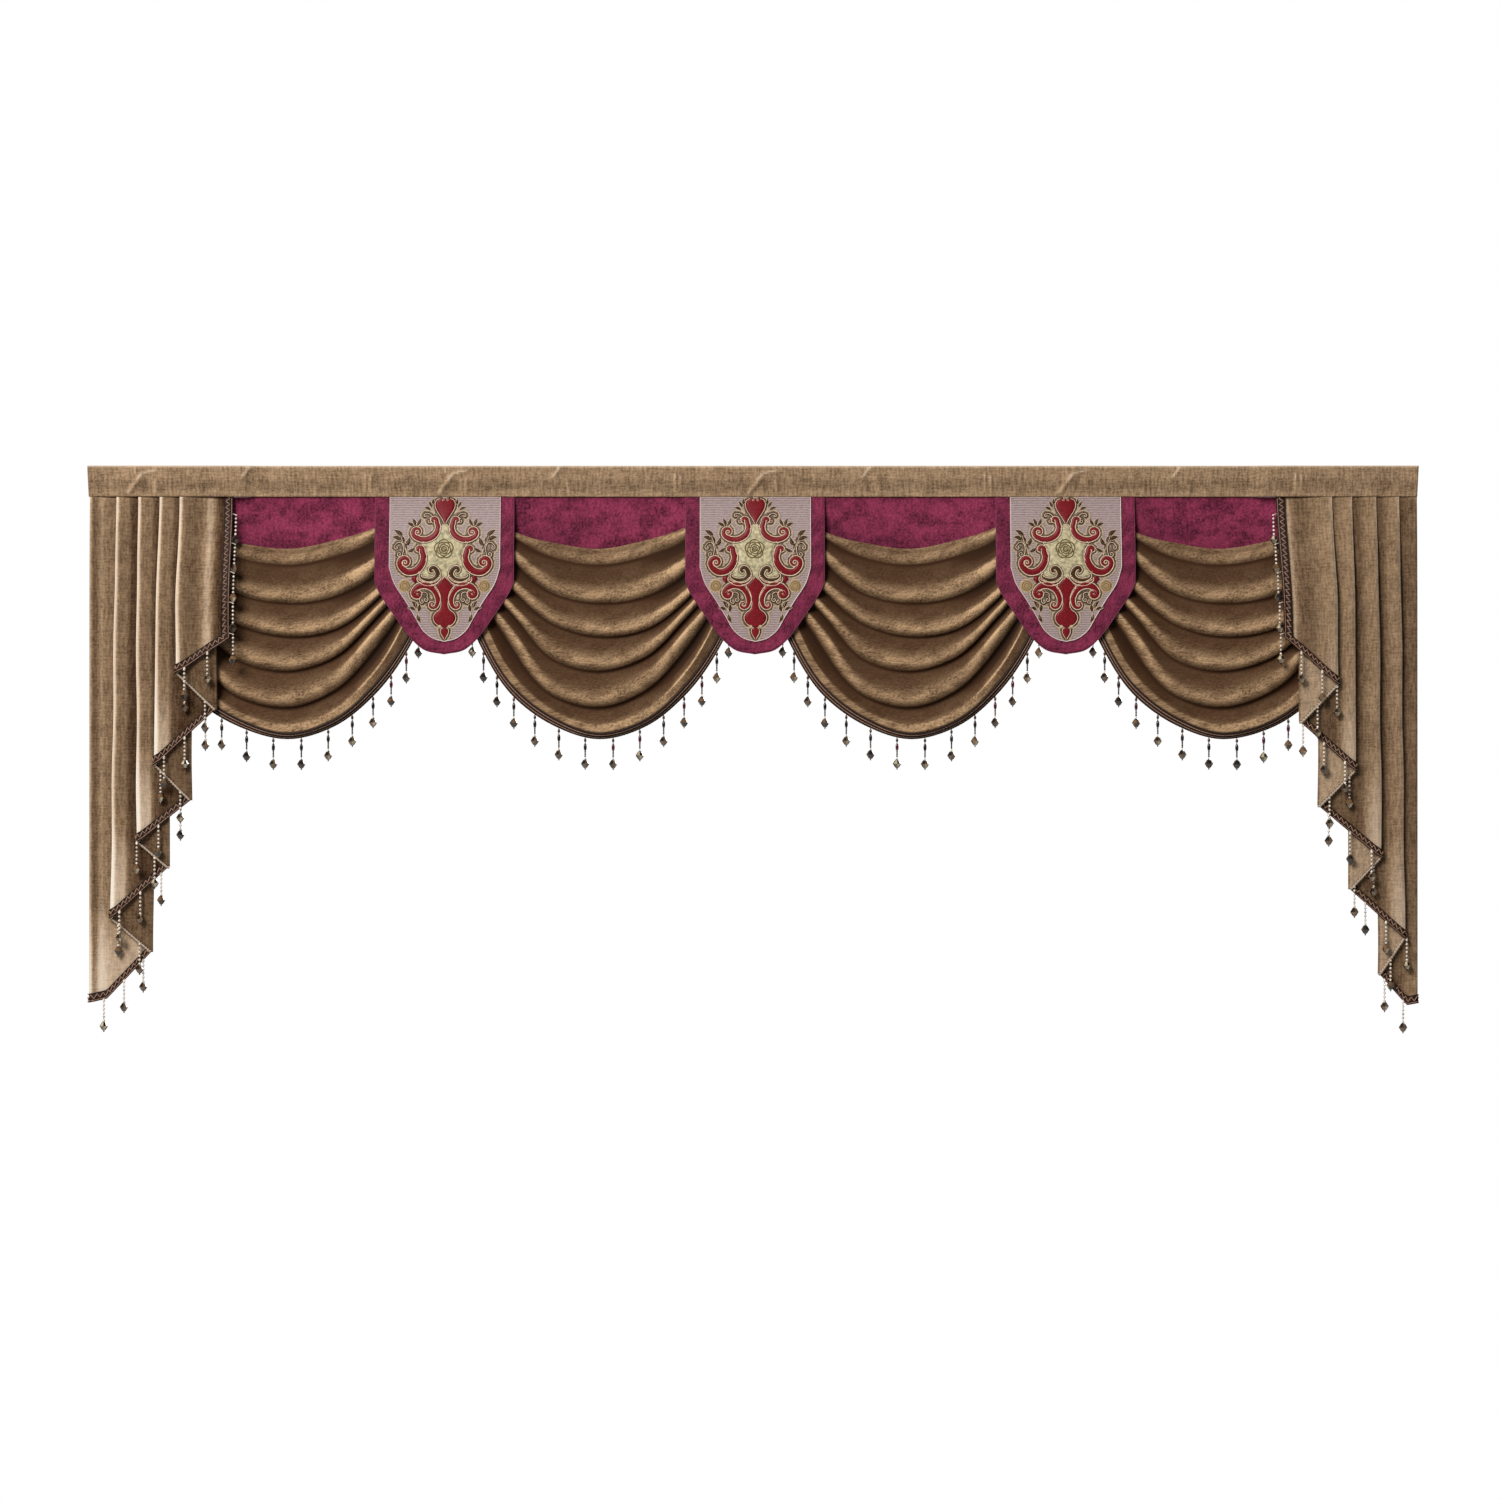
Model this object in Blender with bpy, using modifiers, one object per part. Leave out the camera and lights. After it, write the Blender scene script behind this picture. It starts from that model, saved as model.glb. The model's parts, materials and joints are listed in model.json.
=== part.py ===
"""Swag and tail valance for a window about three metres wide.

A flat heading carries a back panel, four swags, three pointed tabs with brocade fronts and two pleated tails.
Braid with beaded drops edges the swags and the tails. Lengths are metres and +Z is up. The origin is the middle
of the heading's top edge on its flat back face, and the front faces -Y.
"""

import math
from collections import namedtuple

import bmesh
import bpy
import numpy as np
from mathutils import Vector

# Heading: a doubled band, thicker over the pleated tails than over the swags.
HEADING_HEIGHT = 0.070
HEADING_HALF_WIDTH_TOP = 1.4950
HEADING_HALF_WIDTH_FOOT = 1.4915
HEADING_DEPTH = 0.0105
HEADING_DEPTH_AT_TAILS = 0.0195
HEADING_RAMP = (1.110, 1.155)

# Cloth, and the gap left between pieces that touch.
CLOTH = 0.0012
BRAID = 0.0018
BRAID_WIDTH = 0.020
SEAT_GAP = 0.0003
BRAID_GAP = 0.0009
CLOTH_TOP = HEADING_HEIGHT + SEAT_GAP

# Back panel behind the swags.
PANEL_HALF_WIDTH = 1.215
PANEL_FOOT = 0.255
PANEL_DEPTH = 0.0012

# Tabs, spaced one swag apart.
PITCH = 0.697
TAB_MIDDLE = 0.0045
TAB_HALF_WIDTH = 0.1566
TAB_DEPTH_TOP = 0.0076
TAB_DEPTH = 0.0310
TAB_LEVELS = (0.095, 0.130, 0.175, 0.225)
TAB_LOWER_SHARES = (0.5, 1.0)
TAB_COLUMNS = 10
TAB_FRONT_HALF_WIDTH = 0.1238
TAB_FRONT_SHIFT = 0.0010
TAB_FRONT_FORWARD = CLOTH + 0.00045

# Lower outline of each shield: distance from its middle line, then depth of the edge under the top of the heading.
TAB_OUTLINE = ((0.0, 0.4241), (0.045, 0.414), (0.0675, 0.396), (0.0866, 0.369), (0.128, 0.3015), (0.1566, 0.250))
TAB_FRONT_OUTLINE = (
    (0.0, 0.3956), (0.0248, 0.389), (0.047, 0.372), (0.065, 0.342), (0.0878, 0.304), (0.1136, 0.263), (0.1238, 0.2295),
)

# Swags. Each fold line is given by its drop under the top of the heading at seven stations across the swag.
SWAG_MIDDLES = (-1.041, -0.344, 0.353, 1.050)
SWAG_COLUMNS = 16
SWAG_OUTER_STRETCH = 1.12
SWAG_STATIONS = (-0.270, -0.191, -0.101, 0.0, 0.101, 0.191, 0.270)
SWAG_END_DEPTH = 0.0046
SWAG_HEM_END_DEPTH = 0.0032
SWAG_END_TUCK = 0.0012
SWAG_FADE_POWER = 1.3
TUCK_FADE_POWER = 0.7
HEM_TURN = (-0.70, 0.00)

# span: half-width where the line meets the heading. belly: how far it stands forward at the middle, on the left and
# on the right side. draw: how far the cloth under the line is tucked back.
Line = namedtuple("Line", "name drops span belly_left belly_right draw end_depth")
TOP_EDGE = Line("top edge", (0.088, 0.1485, 0.1755, 0.189, 0.170, 0.1395, 0.088), 0.281, 0.012, 0.012, 0.0, 0.0040)
FOLDS = (
    Line("top roll", (0.095, 0.155, 0.182, 0.196, 0.177, 0.146, 0.095), 0.284, 0.019, 0.019, 0.009, SWAG_END_DEPTH),
    Line("fold 1", (0.119, 0.196, 0.261, 0.279, 0.261, 0.214, 0.119), 0.295, 0.035, 0.035, 0.018, SWAG_END_DEPTH),
    Line("fold 2", (0.178, 0.265, 0.331, 0.3555, 0.344, 0.288, 0.178), 0.306, 0.047, 0.047, 0.023, SWAG_END_DEPTH),
    Line("fold 3", (0.232, 0.322, 0.403, 0.430, 0.407, 0.3285, 0.232), 0.317, 0.056, 0.056, 0.025, SWAG_END_DEPTH),
    Line("fold 4", (0.2745, 0.3825, 0.4905, 0.511, 0.4725, 0.378, 0.2745), 0.326, 0.063, 0.063, 0.026, SWAG_END_DEPTH),
    Line("hem roll", (0.3285, 0.479, 0.553, 0.584, 0.5535, 0.470, 0.3285), 0.335, 0.064, 0.064, 0.0, SWAG_END_DEPTH),
)
HEM_LINES = (
    Line("braid line", (0.365, 0.497, 0.566, 0.600, 0.571, 0.493, 0.375), 0.338, 0.063, 0.066, 0.0, 0.0034),
    Line("hem", (0.400, 0.520, 0.583, 0.612, 0.585, 0.515, 0.405), 0.343, 0.058, 0.052, 0.0, SWAG_HEM_END_DEPTH),
)
# Section of the cloth from one fold line to the next: share of the way down, share of the tuck.
FOLD_SECTION = ((0.0, 0.0), (0.34, 1.0), (0.66, 0.38))

# Tails. The pleats are listed from the inner edge outwards, all as distances from the middle of the valance.
Pleat = namedtuple("Pleat", "name at_heading at_hem drop")
TAIL_LEFT = (
    Pleat("inner edge", 1.1680, 1.1680, 0.389),
    Pleat("front fold 1", 1.2870, 1.2895, 0.468),
    Pleat("back fold 1", 1.1990, 1.1990, 0.549),
    Pleat("front fold 2", 1.3320, 1.3390, 0.673),
    Pleat("back fold 2", 1.2555, 1.2555, 0.7515),
    Pleat("front fold 3", 1.3800, 1.3800, 0.846),
    Pleat("back fold 3", 1.3070, 1.3070, 0.902),
    Pleat("front fold 4", 1.4290, 1.4400, 1.017),
    Pleat("back fold 4", 1.3455, 1.3455, 1.092),
    Pleat("outer edge", 1.4890, 1.4895, 1.206),
)
TAIL_RIGHT = (
    Pleat("inner edge", 1.1745, 1.1860, 0.387),
    Pleat("front fold 1", 1.3005, 1.3080, 0.494),
    Pleat("back fold 1", 1.2206, 1.2206, 0.578),
    Pleat("front fold 2", 1.3455, 1.3480, 0.686),
    Pleat("back fold 2", 1.2640, 1.2640, 0.765),
    Pleat("front fold 3", 1.3995, 1.4080, 0.881),
    Pleat("back fold 3", 1.3340, 1.3340, 0.951),
    Pleat("front fold 4", 1.4510, 1.4620, 1.062),
    Pleat("back fold 4", 1.4020, 1.4020, 1.142),
    Pleat("outer edge", 1.4910, 1.4915, 1.2070),
)
STACK_DEPTH = 0.0095
STACK_STEP = 0.0016
STACK_LEAN = 0.064
LAST_LAYER_DEPTH = 0.021
STEP_BEHIND_FRONT = 0.0045
STEP_BEHIND_RETURN = 0.0080
FAN_LENGTH = 0.25
TAIL_LEVELS = (0.090, 0.120, 0.160, 0.210, 0.265, 0.3203)
TAIL_LOWER_ROWS = 2
LAYER_CROWN = 0.0012
CROWN_PLACE = 0.5
# The lowest layer's hem bows down near its outer corner: share of the way out, how far it bows.
LAST_HEM_PLACE = 0.72
LAST_HEM_BOW = 0.023
# Soft wave of the first layer beside its braid: distance from the inner edge, how far it stands forward.
FIRST_LAYER_WAVE = ((0.0, 0.0), (BRAID_WIDTH, 0.0), (0.047, 0.0045), (0.080, 0.0))

# Beaded drops: distance down from the braid's edge and radius of each ring of a drop.
DROP_SECTION = ((0.016, 0.0030), (0.046, 0.0012), (0.061, 0.0080), (0.074, 0.0010))
DROP_ROOT_RADIUS = 0.0014
DROP_SIDES = 4
DROP_MERGE = 0.00005
CRYSTAL_DOWN = DROP_SECTION[2][0]
WALL_CLEARANCE = 0.0095
DROP_SPACING = 0.063
ROOT_INSET = 0.003
ROOT_FORWARD = 0.0009
# How far in front of its root a drop on a tail hangs: before the cloth behind a front layer, or behind a return.
HANG_FORWARD_FRONT = 0.0030
HANG_FORWARD_RETURN = 0.0054
SWAG_DROPS = 14
LAST_DROP_IN = 0.040
EDGE_DROPS = 5
EDGE_DROP_SPACING = 0.0695
EDGE_DROP_TOP = 0.108
EDGE_DROP_OUT = 0.0100
EDGE_ROOT_INSET = 0.0006
# Drops left off at the outer end of the outer swags, behind the tails.
HIDDEN_DROPS = 4

# Linear colour and roughness of each cloth.
Finish = namedtuple("Finish", "name colour roughness")
FINISHES = (
    Finish("heading chenille", (0.27, 0.19, 0.11), 0.85),
    Finish("tail chenille", (0.24, 0.165, 0.10), 0.80),
    Finish("swag velvet", (0.19, 0.115, 0.055), 0.70),
    Finish("wine velvet", (0.21, 0.025, 0.07), 0.75),
    Finish("brocade", (0.38, 0.31, 0.31), 0.60),
    Finish("woven braid", (0.075, 0.035, 0.028), 0.65),
)


def remove_everything():
    for thing in list(bpy.data.objects):
        bpy.data.objects.remove(thing, do_unlink=True)


def new_collection(name):
    collection = bpy.data.collections.new(name)
    bpy.context.scene.collection.children.link(collection)
    return collection


def principled(name, colour, roughness):
    material = bpy.data.materials.new(name)
    material.use_nodes = True
    shader = material.node_tree.nodes["Principled BSDF"]
    shader.inputs["Base Color"].default_value = (*colour, 1.0)
    shader.inputs["Roughness"].default_value = roughness
    shader.inputs["Metallic"].default_value = 0.0
    return material


def smoothstep(value, low, high):
    share = min(max((value - low) / (high - low), 0.0), 1.0)
    return share * share * (3.0 - 2.0 * share)


def curve_through(points, count, steps=24):
    """Evenly spaced points on a smooth curve through the given points."""
    points = np.array(points, dtype=float)
    chord = np.concatenate([[0.0], np.cumsum(np.linalg.norm(np.diff(points, axis=0), axis=1))])
    slopes = np.gradient(points, chord, axis=0)
    fine = []
    for i in range(len(points) - 1):
        length = chord[i + 1] - chord[i]
        for t in np.linspace(0.0, 1.0, steps, endpoint=False):
            fine.append(
                points[i] * (2 * t**3 - 3 * t**2 + 1)
                + slopes[i] * length * (t**3 - 2 * t**2 + t)
                + points[i + 1] * (3 * t**2 - 2 * t**3)
                + slopes[i + 1] * length * (t**3 - t**2)
            )
    fine = np.array([*fine, points[-1]])
    along = np.concatenate([[0.0], np.cumsum(np.linalg.norm(np.diff(fine, axis=0), axis=1))])
    places = np.linspace(0.0, along[-1], count)
    return np.stack([np.interp(places, along, fine[:, axis]) for axis in range(fine.shape[1])], axis=1)


def sheet(name, rows, thickness, material, collection):
    """An open sheet through rows of points, given its thickness by a Solidify modifier."""
    rows = np.array(rows)
    across = rows.shape[1] - 1
    down = rows.shape[0] - 1
    bm = bmesh.new()
    bmesh.ops.create_grid(bm, x_segments=across, y_segments=down, size=1.0)
    for vert in bm.verts:
        column = round((vert.co.x + 1.0) / 2 * across)
        row = round((vert.co.y + 1.0) / 2 * down)
        vert.co = rows[row, column]
    # The same diagonal everywhere keeps a braid parallel to the cloth under it.
    bmesh.ops.triangulate(bm, faces=bm.faces[:], quad_method="FIXED")
    mesh = bpy.data.meshes.new(name)
    bm.to_mesh(mesh)
    bm.free()
    mesh.materials.append(material)
    thing = bpy.data.objects.new(name, mesh)
    collection.objects.link(thing)
    solidify = thing.modifiers.new("thickness", "SOLIDIFY")
    solidify.thickness = thickness
    solidify.offset = 0.0
    return thing


def face_normals(rows):
    """Unit normals of a grid of points, turned to the side that faces forward where a row runs left to right."""
    rows = np.array(rows)
    along = np.gradient(rows, axis=1)
    down = np.gradient(rows, axis=0)
    normals = np.cross(down, along)
    return normals / np.linalg.norm(normals, axis=2, keepdims=True)


def make_heading(material, collection):
    bm = bmesh.new()
    bmesh.ops.create_cube(bm, size=1.0)
    for vert in bm.verts:
        top = vert.co.z > 0.0
        half_width = HEADING_HALF_WIDTH_TOP if top else HEADING_HALF_WIDTH_FOOT
        vert.co.x = math.copysign(half_width, vert.co.x)
        vert.co.y = -HEADING_DEPTH_AT_TAILS if vert.co.y < 0.0 else 0.0
        vert.co.z = 0.0 if top else -HEADING_HEIGHT
    for side in (-1.0, 1.0):
        for ramp in HEADING_RAMP:
            geometry = bm.verts[:] + bm.edges[:] + bm.faces[:]
            bmesh.ops.bisect_plane(bm, geom=geometry, plane_co=(side * ramp, 0.0, 0.0), plane_no=(1.0, 0.0, 0.0))
    for vert in bm.verts:
        if vert.co.y < 0.0 and abs(vert.co.x) < sum(HEADING_RAMP) / 2:
            vert.co.y = -HEADING_DEPTH
    mesh = bpy.data.meshes.new("heading")
    bm.to_mesh(mesh)
    bm.free()
    mesh.materials.append(material)
    thing = bpy.data.objects.new("heading", mesh)
    collection.objects.link(thing)


def make_panel(material, collection):
    rows = [
        [(x, -PANEL_DEPTH, -drop) for x in (-PANEL_HALF_WIDTH, PANEL_HALF_WIDTH)]
        for drop in (CLOTH_TOP, PANEL_FOOT)
    ]
    sheet("back_panel", rows, CLOTH, material, collection)


def make_shield(name, middle, half_width, outline, forward, material, collection):
    """A flat pointed shield that leans out from the heading and then hangs straight."""
    across, drops = np.array(outline).T
    levels = (CLOTH_TOP, *TAB_LEVELS)
    rows = []
    for level_above, share in [*((level, 0.0) for level in levels), *((levels[-1], s) for s in TAB_LOWER_SHARES)]:
        row = []
        for x in np.linspace(-half_width, half_width, TAB_COLUMNS + 1):
            foot = np.interp(abs(x), across, drops)
            level = level_above + share * (foot - level_above)
            depth = TAB_DEPTH_TOP + (TAB_DEPTH - TAB_DEPTH_TOP) * smoothstep(level, CLOTH_TOP, levels[-1])
            row.append((middle + x, -depth - forward, -level))
        rows.append(row)
    sheet(name, rows, CLOTH, material, collection)


def swag_line_row(line, left_stretch, right_stretch):
    """Points of one fold line across the swag, before its depth."""
    stations = [(-line.span, CLOTH_TOP), *zip(SWAG_STATIONS, line.drops), (line.span, CLOTH_TOP)]
    row = curve_through(stations, SWAG_COLUMNS + 1)
    row[:, 0] *= np.where(row[:, 0] < 0.0, left_stretch, right_stretch)
    return row


def swag_fade(line, row, left_stretch, right_stretch):
    span = line.span * np.where(row[:, 0] < 0.0, left_stretch, right_stretch)
    share = np.clip(np.abs(row[:, 0]) / span, 0.0, 1.0)
    return np.cos(share * math.pi / 2) ** SWAG_FADE_POWER


def swag_rows(middle, left_stretch, right_stretch):
    """Rows of points from the top edge to the hem, each running from the left end to the right end."""
    lines = (TOP_EDGE, *FOLDS, *HEM_LINES)
    flat, depth, fades = [], [], []
    for line in lines:
        row = swag_line_row(line, left_stretch, right_stretch)
        fade = swag_fade(line, row, left_stretch, right_stretch)
        turn = np.array([smoothstep(x / line.span, *HEM_TURN) for x in row[:, 0]])
        belly = line.belly_left + (line.belly_right - line.belly_left) * turn
        flat.append(row)
        depth.append(line.end_depth + belly * fade)
        fades.append(fade)
    rows = []
    for i, line in enumerate(lines):
        section = FOLD_SECTION if line.draw else FOLD_SECTION[:1]
        for share, tuck in section:
            below = min(i + 1, len(lines) - 1)
            place = flat[i] * (1.0 - share) + flat[below] * share
            fade = fades[i] * (1.0 - share) + fades[below] * share
            forward = depth[i] * (1.0 - share) + depth[below] * share
            forward = forward - tuck * (line.draw * fade**TUCK_FADE_POWER + SWAG_END_TUCK)
            rows.append(np.stack([middle + place[:, 0], -forward, -place[:, 1]], axis=1))
    return np.array(rows)


def layer_depths():
    """How far forward each of a tail's nine layers hangs once it has fanned out, from the front one back."""
    depths = [LAST_LAYER_DEPTH]
    for layer in range(len(TAIL_LEFT) - 3, -1, -1):
        depths.append(depths[-1] + (STEP_BEHIND_FRONT if layer % 2 == 0 else STEP_BEHIND_RETURN))
    return depths[::-1]


def tail_depth(layer, out, level, hung):
    """How far forward a layer lies: a leaning stack at the heading that opens into a fan lower down."""
    stacked = STACK_DEPTH - STACK_STEP * layer + STACK_LEAN * out
    opening = smoothstep(level, CLOTH_TOP, CLOTH_TOP + FAN_LENGTH)
    return stacked * (1.0 - opening) + hung * opening, opening


def tail_column(start, end, share, bow):
    """One upright line of the cloth between two pleat edges: place at the heading, place at the hem and drop."""
    return Pleat(
        "between",
        start.at_heading + (end.at_heading - start.at_heading) * share,
        start.at_hem + (end.at_hem - start.at_hem) * share,
        start.drop + (end.drop - start.drop) * share + bow,
    )


def tail_columns(pleats):
    """Columns of a tail from its inner edge outwards: (column, layer, crown), and a layer of i + 0.5 on a fold."""
    columns = []
    for layer, (start, end) in enumerate(zip(pleats[:-1], pleats[1:])):
        width = abs(end.at_hem - start.at_hem)
        if layer == 0:
            marks = [(out / width, wave, 0.0) for out, wave in FIRST_LAYER_WAVE]
        elif layer == len(pleats) - 2:
            marks = [(0.0, 0.0, 0.0), (LAST_HEM_PLACE, LAYER_CROWN, LAST_HEM_BOW)]
        else:
            marks = [(0.0, 0.0, 0.0), (CROWN_PLACE, LAYER_CROWN, 0.0)]
        for share, crown, bow in [*marks, (1.0, 0.0, 0.0)]:
            columns.append((tail_column(start, end, share, bow), layer, crown))
        if layer < len(pleats) - 2:
            columns.append((end, layer + 0.5, 0.0))
    return columns


def tail_levels(drop):
    lower = [
        TAIL_LEVELS[-1] + (drop - BRAID_WIDTH - TAIL_LEVELS[-1]) * (i + 1) / TAIL_LOWER_ROWS
        for i in range(TAIL_LOWER_ROWS)
    ]
    return [CLOTH_TOP, *TAIL_LEVELS, *lower, drop]


def tail_rows(pleats, side):
    """Rows of points of a pleated tail, each running from the inner edge to the outer edge."""
    hung = layer_depths()
    inner = pleats[0].at_heading
    columns = tail_columns(pleats)
    grid = []
    for column, layer, crown in columns:
        line = []
        for level in tail_levels(column.drop):
            fall = (level - CLOTH_TOP) / (column.drop - CLOTH_TOP)
            out = column.at_heading + (column.at_hem - column.at_heading) * fall
            near = math.floor(layer)
            far = math.ceil(layer)
            near_depth, opening = tail_depth(near, out - inner, level, hung[near])
            far_depth, _ = tail_depth(far, out - inner, level, hung[far])
            forward = (near_depth + far_depth) / 2 + crown * opening
            line.append([out, -forward, -level])
        grid.append(line)
    grid = np.array(grid)
    for index, (_, layer, _) in enumerate(columns):
        if layer != math.floor(layer):
            before = grid[index - 1]
            after = grid[index + 1]
            half = np.abs(after[:, 1] - before[:, 1]) / 2
            toward = np.sign(grid[index - 2][:, 0] - grid[index][:, 0])
            before[:, 0] += toward * half
            after[:, 0] += toward * half
    grid[:, :, 0] *= side
    return np.swapaxes(grid, 0, 1)


def braid_strip(edge, inner, edge_normals, inner_normals):
    """Two rows of points for a braid that lies on the face of the cloth."""
    lift = CLOTH / 2 + BRAID_GAP + BRAID / 2
    return np.array([inner + inner_normals * lift, edge + edge_normals * lift])


def drop_prototype():
    """One beaded drop around the Z axis with its root ring at the origin."""
    bm = bmesh.new()
    profile = [(0.0, DROP_ROOT_RADIUS), *DROP_SECTION]
    verts = [bm.verts.new((radius, 0.0, -down)) for down, radius in profile]
    edges = [bm.edges.new(pair) for pair in zip(verts[:-1], verts[1:])]
    bmesh.ops.spin(
        bm, geom=verts + edges, cent=(0, 0, 0), axis=(0, 0, 1), angle=2 * math.pi, steps=DROP_SIDES, use_merge=True
    )
    bmesh.ops.remove_doubles(bm, verts=bm.verts[:], dist=DROP_MERGE)
    bmesh.ops.holes_fill(bm, edges=[edge for edge in bm.edges if edge.is_boundary], sides=DROP_SIDES)
    bmesh.ops.recalc_face_normals(bm, faces=bm.faces[:])
    mesh = bpy.data.meshes.new("drop")
    bm.to_mesh(mesh)
    bm.free()
    return mesh


def make_drops(name, places, cutters):
    """All the drops of one trim. A place is the root, the top of the axis the drop hangs on, and that axis's lean."""
    prototype = drop_prototype()
    bm = bmesh.new()
    for root, hang, lean in places:
        known = len(bm.verts)
        bm.from_mesh(prototype)
        bm.verts.ensure_lookup_table()
        for vert in bm.verts[known:]:
            down = -vert.co.z
            place = root if down < ROOT_INSET else hang + lean * min(down / CRYSTAL_DOWN, 1.0)
            vert.co += Vector([float(value) for value in place])
    mesh = bpy.data.meshes.new(name)
    bm.to_mesh(mesh)
    bm.free()
    bpy.data.meshes.remove(prototype)
    thing = bpy.data.objects.new(name, mesh)
    cutters.objects.link(thing)
    thing.hide_render = True
    thing.display_type = "WIRE"
    return thing


def make_trim(name, strip, places, material, collection, cutters):
    """A braid strip with its drops joined to it."""
    trim = sheet(name, strip, BRAID, material, collection)
    drops = make_drops(name + "_drops", places, cutters)
    union = trim.modifiers.new("drops", "BOOLEAN")
    union.operation = "UNION"
    union.solver = "EXACT"
    union.object = drops


def along_edge(points, distances):
    """Places at the given distances along a line of points, as (segment index, share) pairs."""
    lengths = np.linalg.norm(np.diff(points, axis=0), axis=1)
    along = np.concatenate([[0.0], np.cumsum(lengths)])
    found = []
    for distance in distances:
        index = min(int(np.searchsorted(along, distance, side="right")) - 1, len(lengths) - 1)
        found.append((index, (distance - along[index]) / lengths[index]))
    return found, along[-1]


def between(points, index, share):
    return points[index] * (1.0 - share) + points[index + 1] * share


def hanging_place(edge, inner, normal, forward):
    """Root of a drop inside the braid, and the top of the axis it hangs on."""
    inward = (inner - edge) / np.linalg.norm(inner - edge)
    root = edge + inward * ROOT_INSET + normal * ROOT_FORWARD
    hang = np.array([root[0], min(root[1] - forward, -WALL_CLEARANCE), edge[2]])
    return root, hang, np.zeros(3)


def make_swag(number, swag_cloth, trim, collection, cutters):
    first = number == 1
    last = number == len(SWAG_MIDDLES)
    left_stretch = SWAG_OUTER_STRETCH if first else 1.0
    right_stretch = SWAG_OUTER_STRETCH if last else 1.0
    rows = swag_rows(SWAG_MIDDLES[number - 1], left_stretch, right_stretch)
    sheet(f"swag_{number}", rows, CLOTH, swag_cloth, collection)
    normals = face_normals(rows)
    strip = braid_strip(rows[-1], rows[-2], normals[-1], normals[-2])
    inner, edge = strip
    half = (SWAG_DROPS - 1) / 2 * DROP_SPACING
    middle = np.sum(np.linalg.norm(np.diff(edge, axis=0), axis=1)) / 2
    if first:
        middle = swag_middle_length(edge, SWAG_MIDDLES[0])
    if last:
        middle = swag_middle_length(edge, SWAG_MIDDLES[-1])
    distances = [middle - half + DROP_SPACING * i for i in range(SWAG_DROPS)]
    if first:
        distances = distances[HIDDEN_DROPS:]
    if last:
        distances = distances[:-HIDDEN_DROPS]
    places = []
    found, _ = along_edge(edge, distances)
    for index, share in found:
        places.append(
            hanging_place(
                between(edge, index, share), between(inner, index, share), between(normals[-1], index, share), 0.0
            )
        )
    make_trim(f"swag_trim_{number}", strip, places, trim, collection, cutters)


def swag_middle_length(edge, middle):
    """Length of the hem from its left end to the swag's middle line."""
    along = np.concatenate([[0.0], np.cumsum(np.linalg.norm(np.diff(edge, axis=0), axis=1))])
    return float(np.interp(middle, edge[:, 0], along))


def make_tail(name, pleats, side, tail_cloth, trim, collection, cutters):
    rows = tail_rows(pleats, side)
    sheet(f"tail_{name}", rows, CLOTH, tail_cloth, collection)
    normals = face_normals(rows) * side
    edge = np.concatenate([rows[:-1, 0], rows[-1:, 0], rows[-1, 2:]])
    inner = np.concatenate([rows[:-1, 1], rows[-2:-1, 1], rows[-2, 2:]])
    edge_normals = np.concatenate([normals[:-1, 0], normals[-1:, 0], normals[-1, 2:]])
    inner_normals = np.concatenate([normals[:-1, 1], normals[-2:-1, 1], normals[-2, 2:]])
    corner = len(rows) - 1
    edge = np.delete(edge, corner - 1, axis=0)
    inner = np.delete(inner, corner - 1, axis=0)
    edge_normals = np.delete(edge_normals, corner - 1, axis=0)
    inner_normals = np.delete(inner_normals, corner - 1, axis=0)
    strip = braid_strip(edge, inner, edge_normals, inner_normals)
    inner, edge = strip
    hem_start = corner - 1
    hem, hem_inner, hem_normals = edge[hem_start:], inner[hem_start:], edge_normals[hem_start:]
    _, length = along_edge(hem, [])
    count = int((length - LAST_DROP_IN) // DROP_SPACING) + 1
    start = length - LAST_DROP_IN - (count - 1) * DROP_SPACING
    places = []
    found, _ = along_edge(hem, [start + DROP_SPACING * i for i in range(count)])
    for index, share in found:
        normal = between(hem_normals, index, share)
        forward = HANG_FORWARD_FRONT if normal[1] < 0.0 else HANG_FORWARD_RETURN
        places.append(hanging_place(between(hem, index, share), between(hem_inner, index, share), normal, forward))
    upright, upright_normals = edge[: hem_start + 1], edge_normals[: hem_start + 1]
    starts = [EDGE_DROP_TOP - CLOTH_TOP + EDGE_DROP_SPACING * i for i in range(EDGE_DROPS)]
    roots, _ = along_edge(upright, starts)
    crystals, _ = along_edge(upright, [start + CRYSTAL_DOWN for start in starts])
    for (index, share), (low_index, low_share) in zip(roots, crystals):
        at = between(upright, index, share)
        normal = between(upright_normals, index, share)
        root = at + normal * ROOT_FORWARD + np.array([side * EDGE_ROOT_INSET, 0.0, 0.0])
        forward = between(upright, low_index, min(low_share, 1.0))[1] - at[1]
        places.append((root, root, np.array([-side * EDGE_DROP_OUT, forward, 0.0])))
    make_trim(f"tail_trim_{name}", strip, places, trim, collection, cutters)


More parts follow.
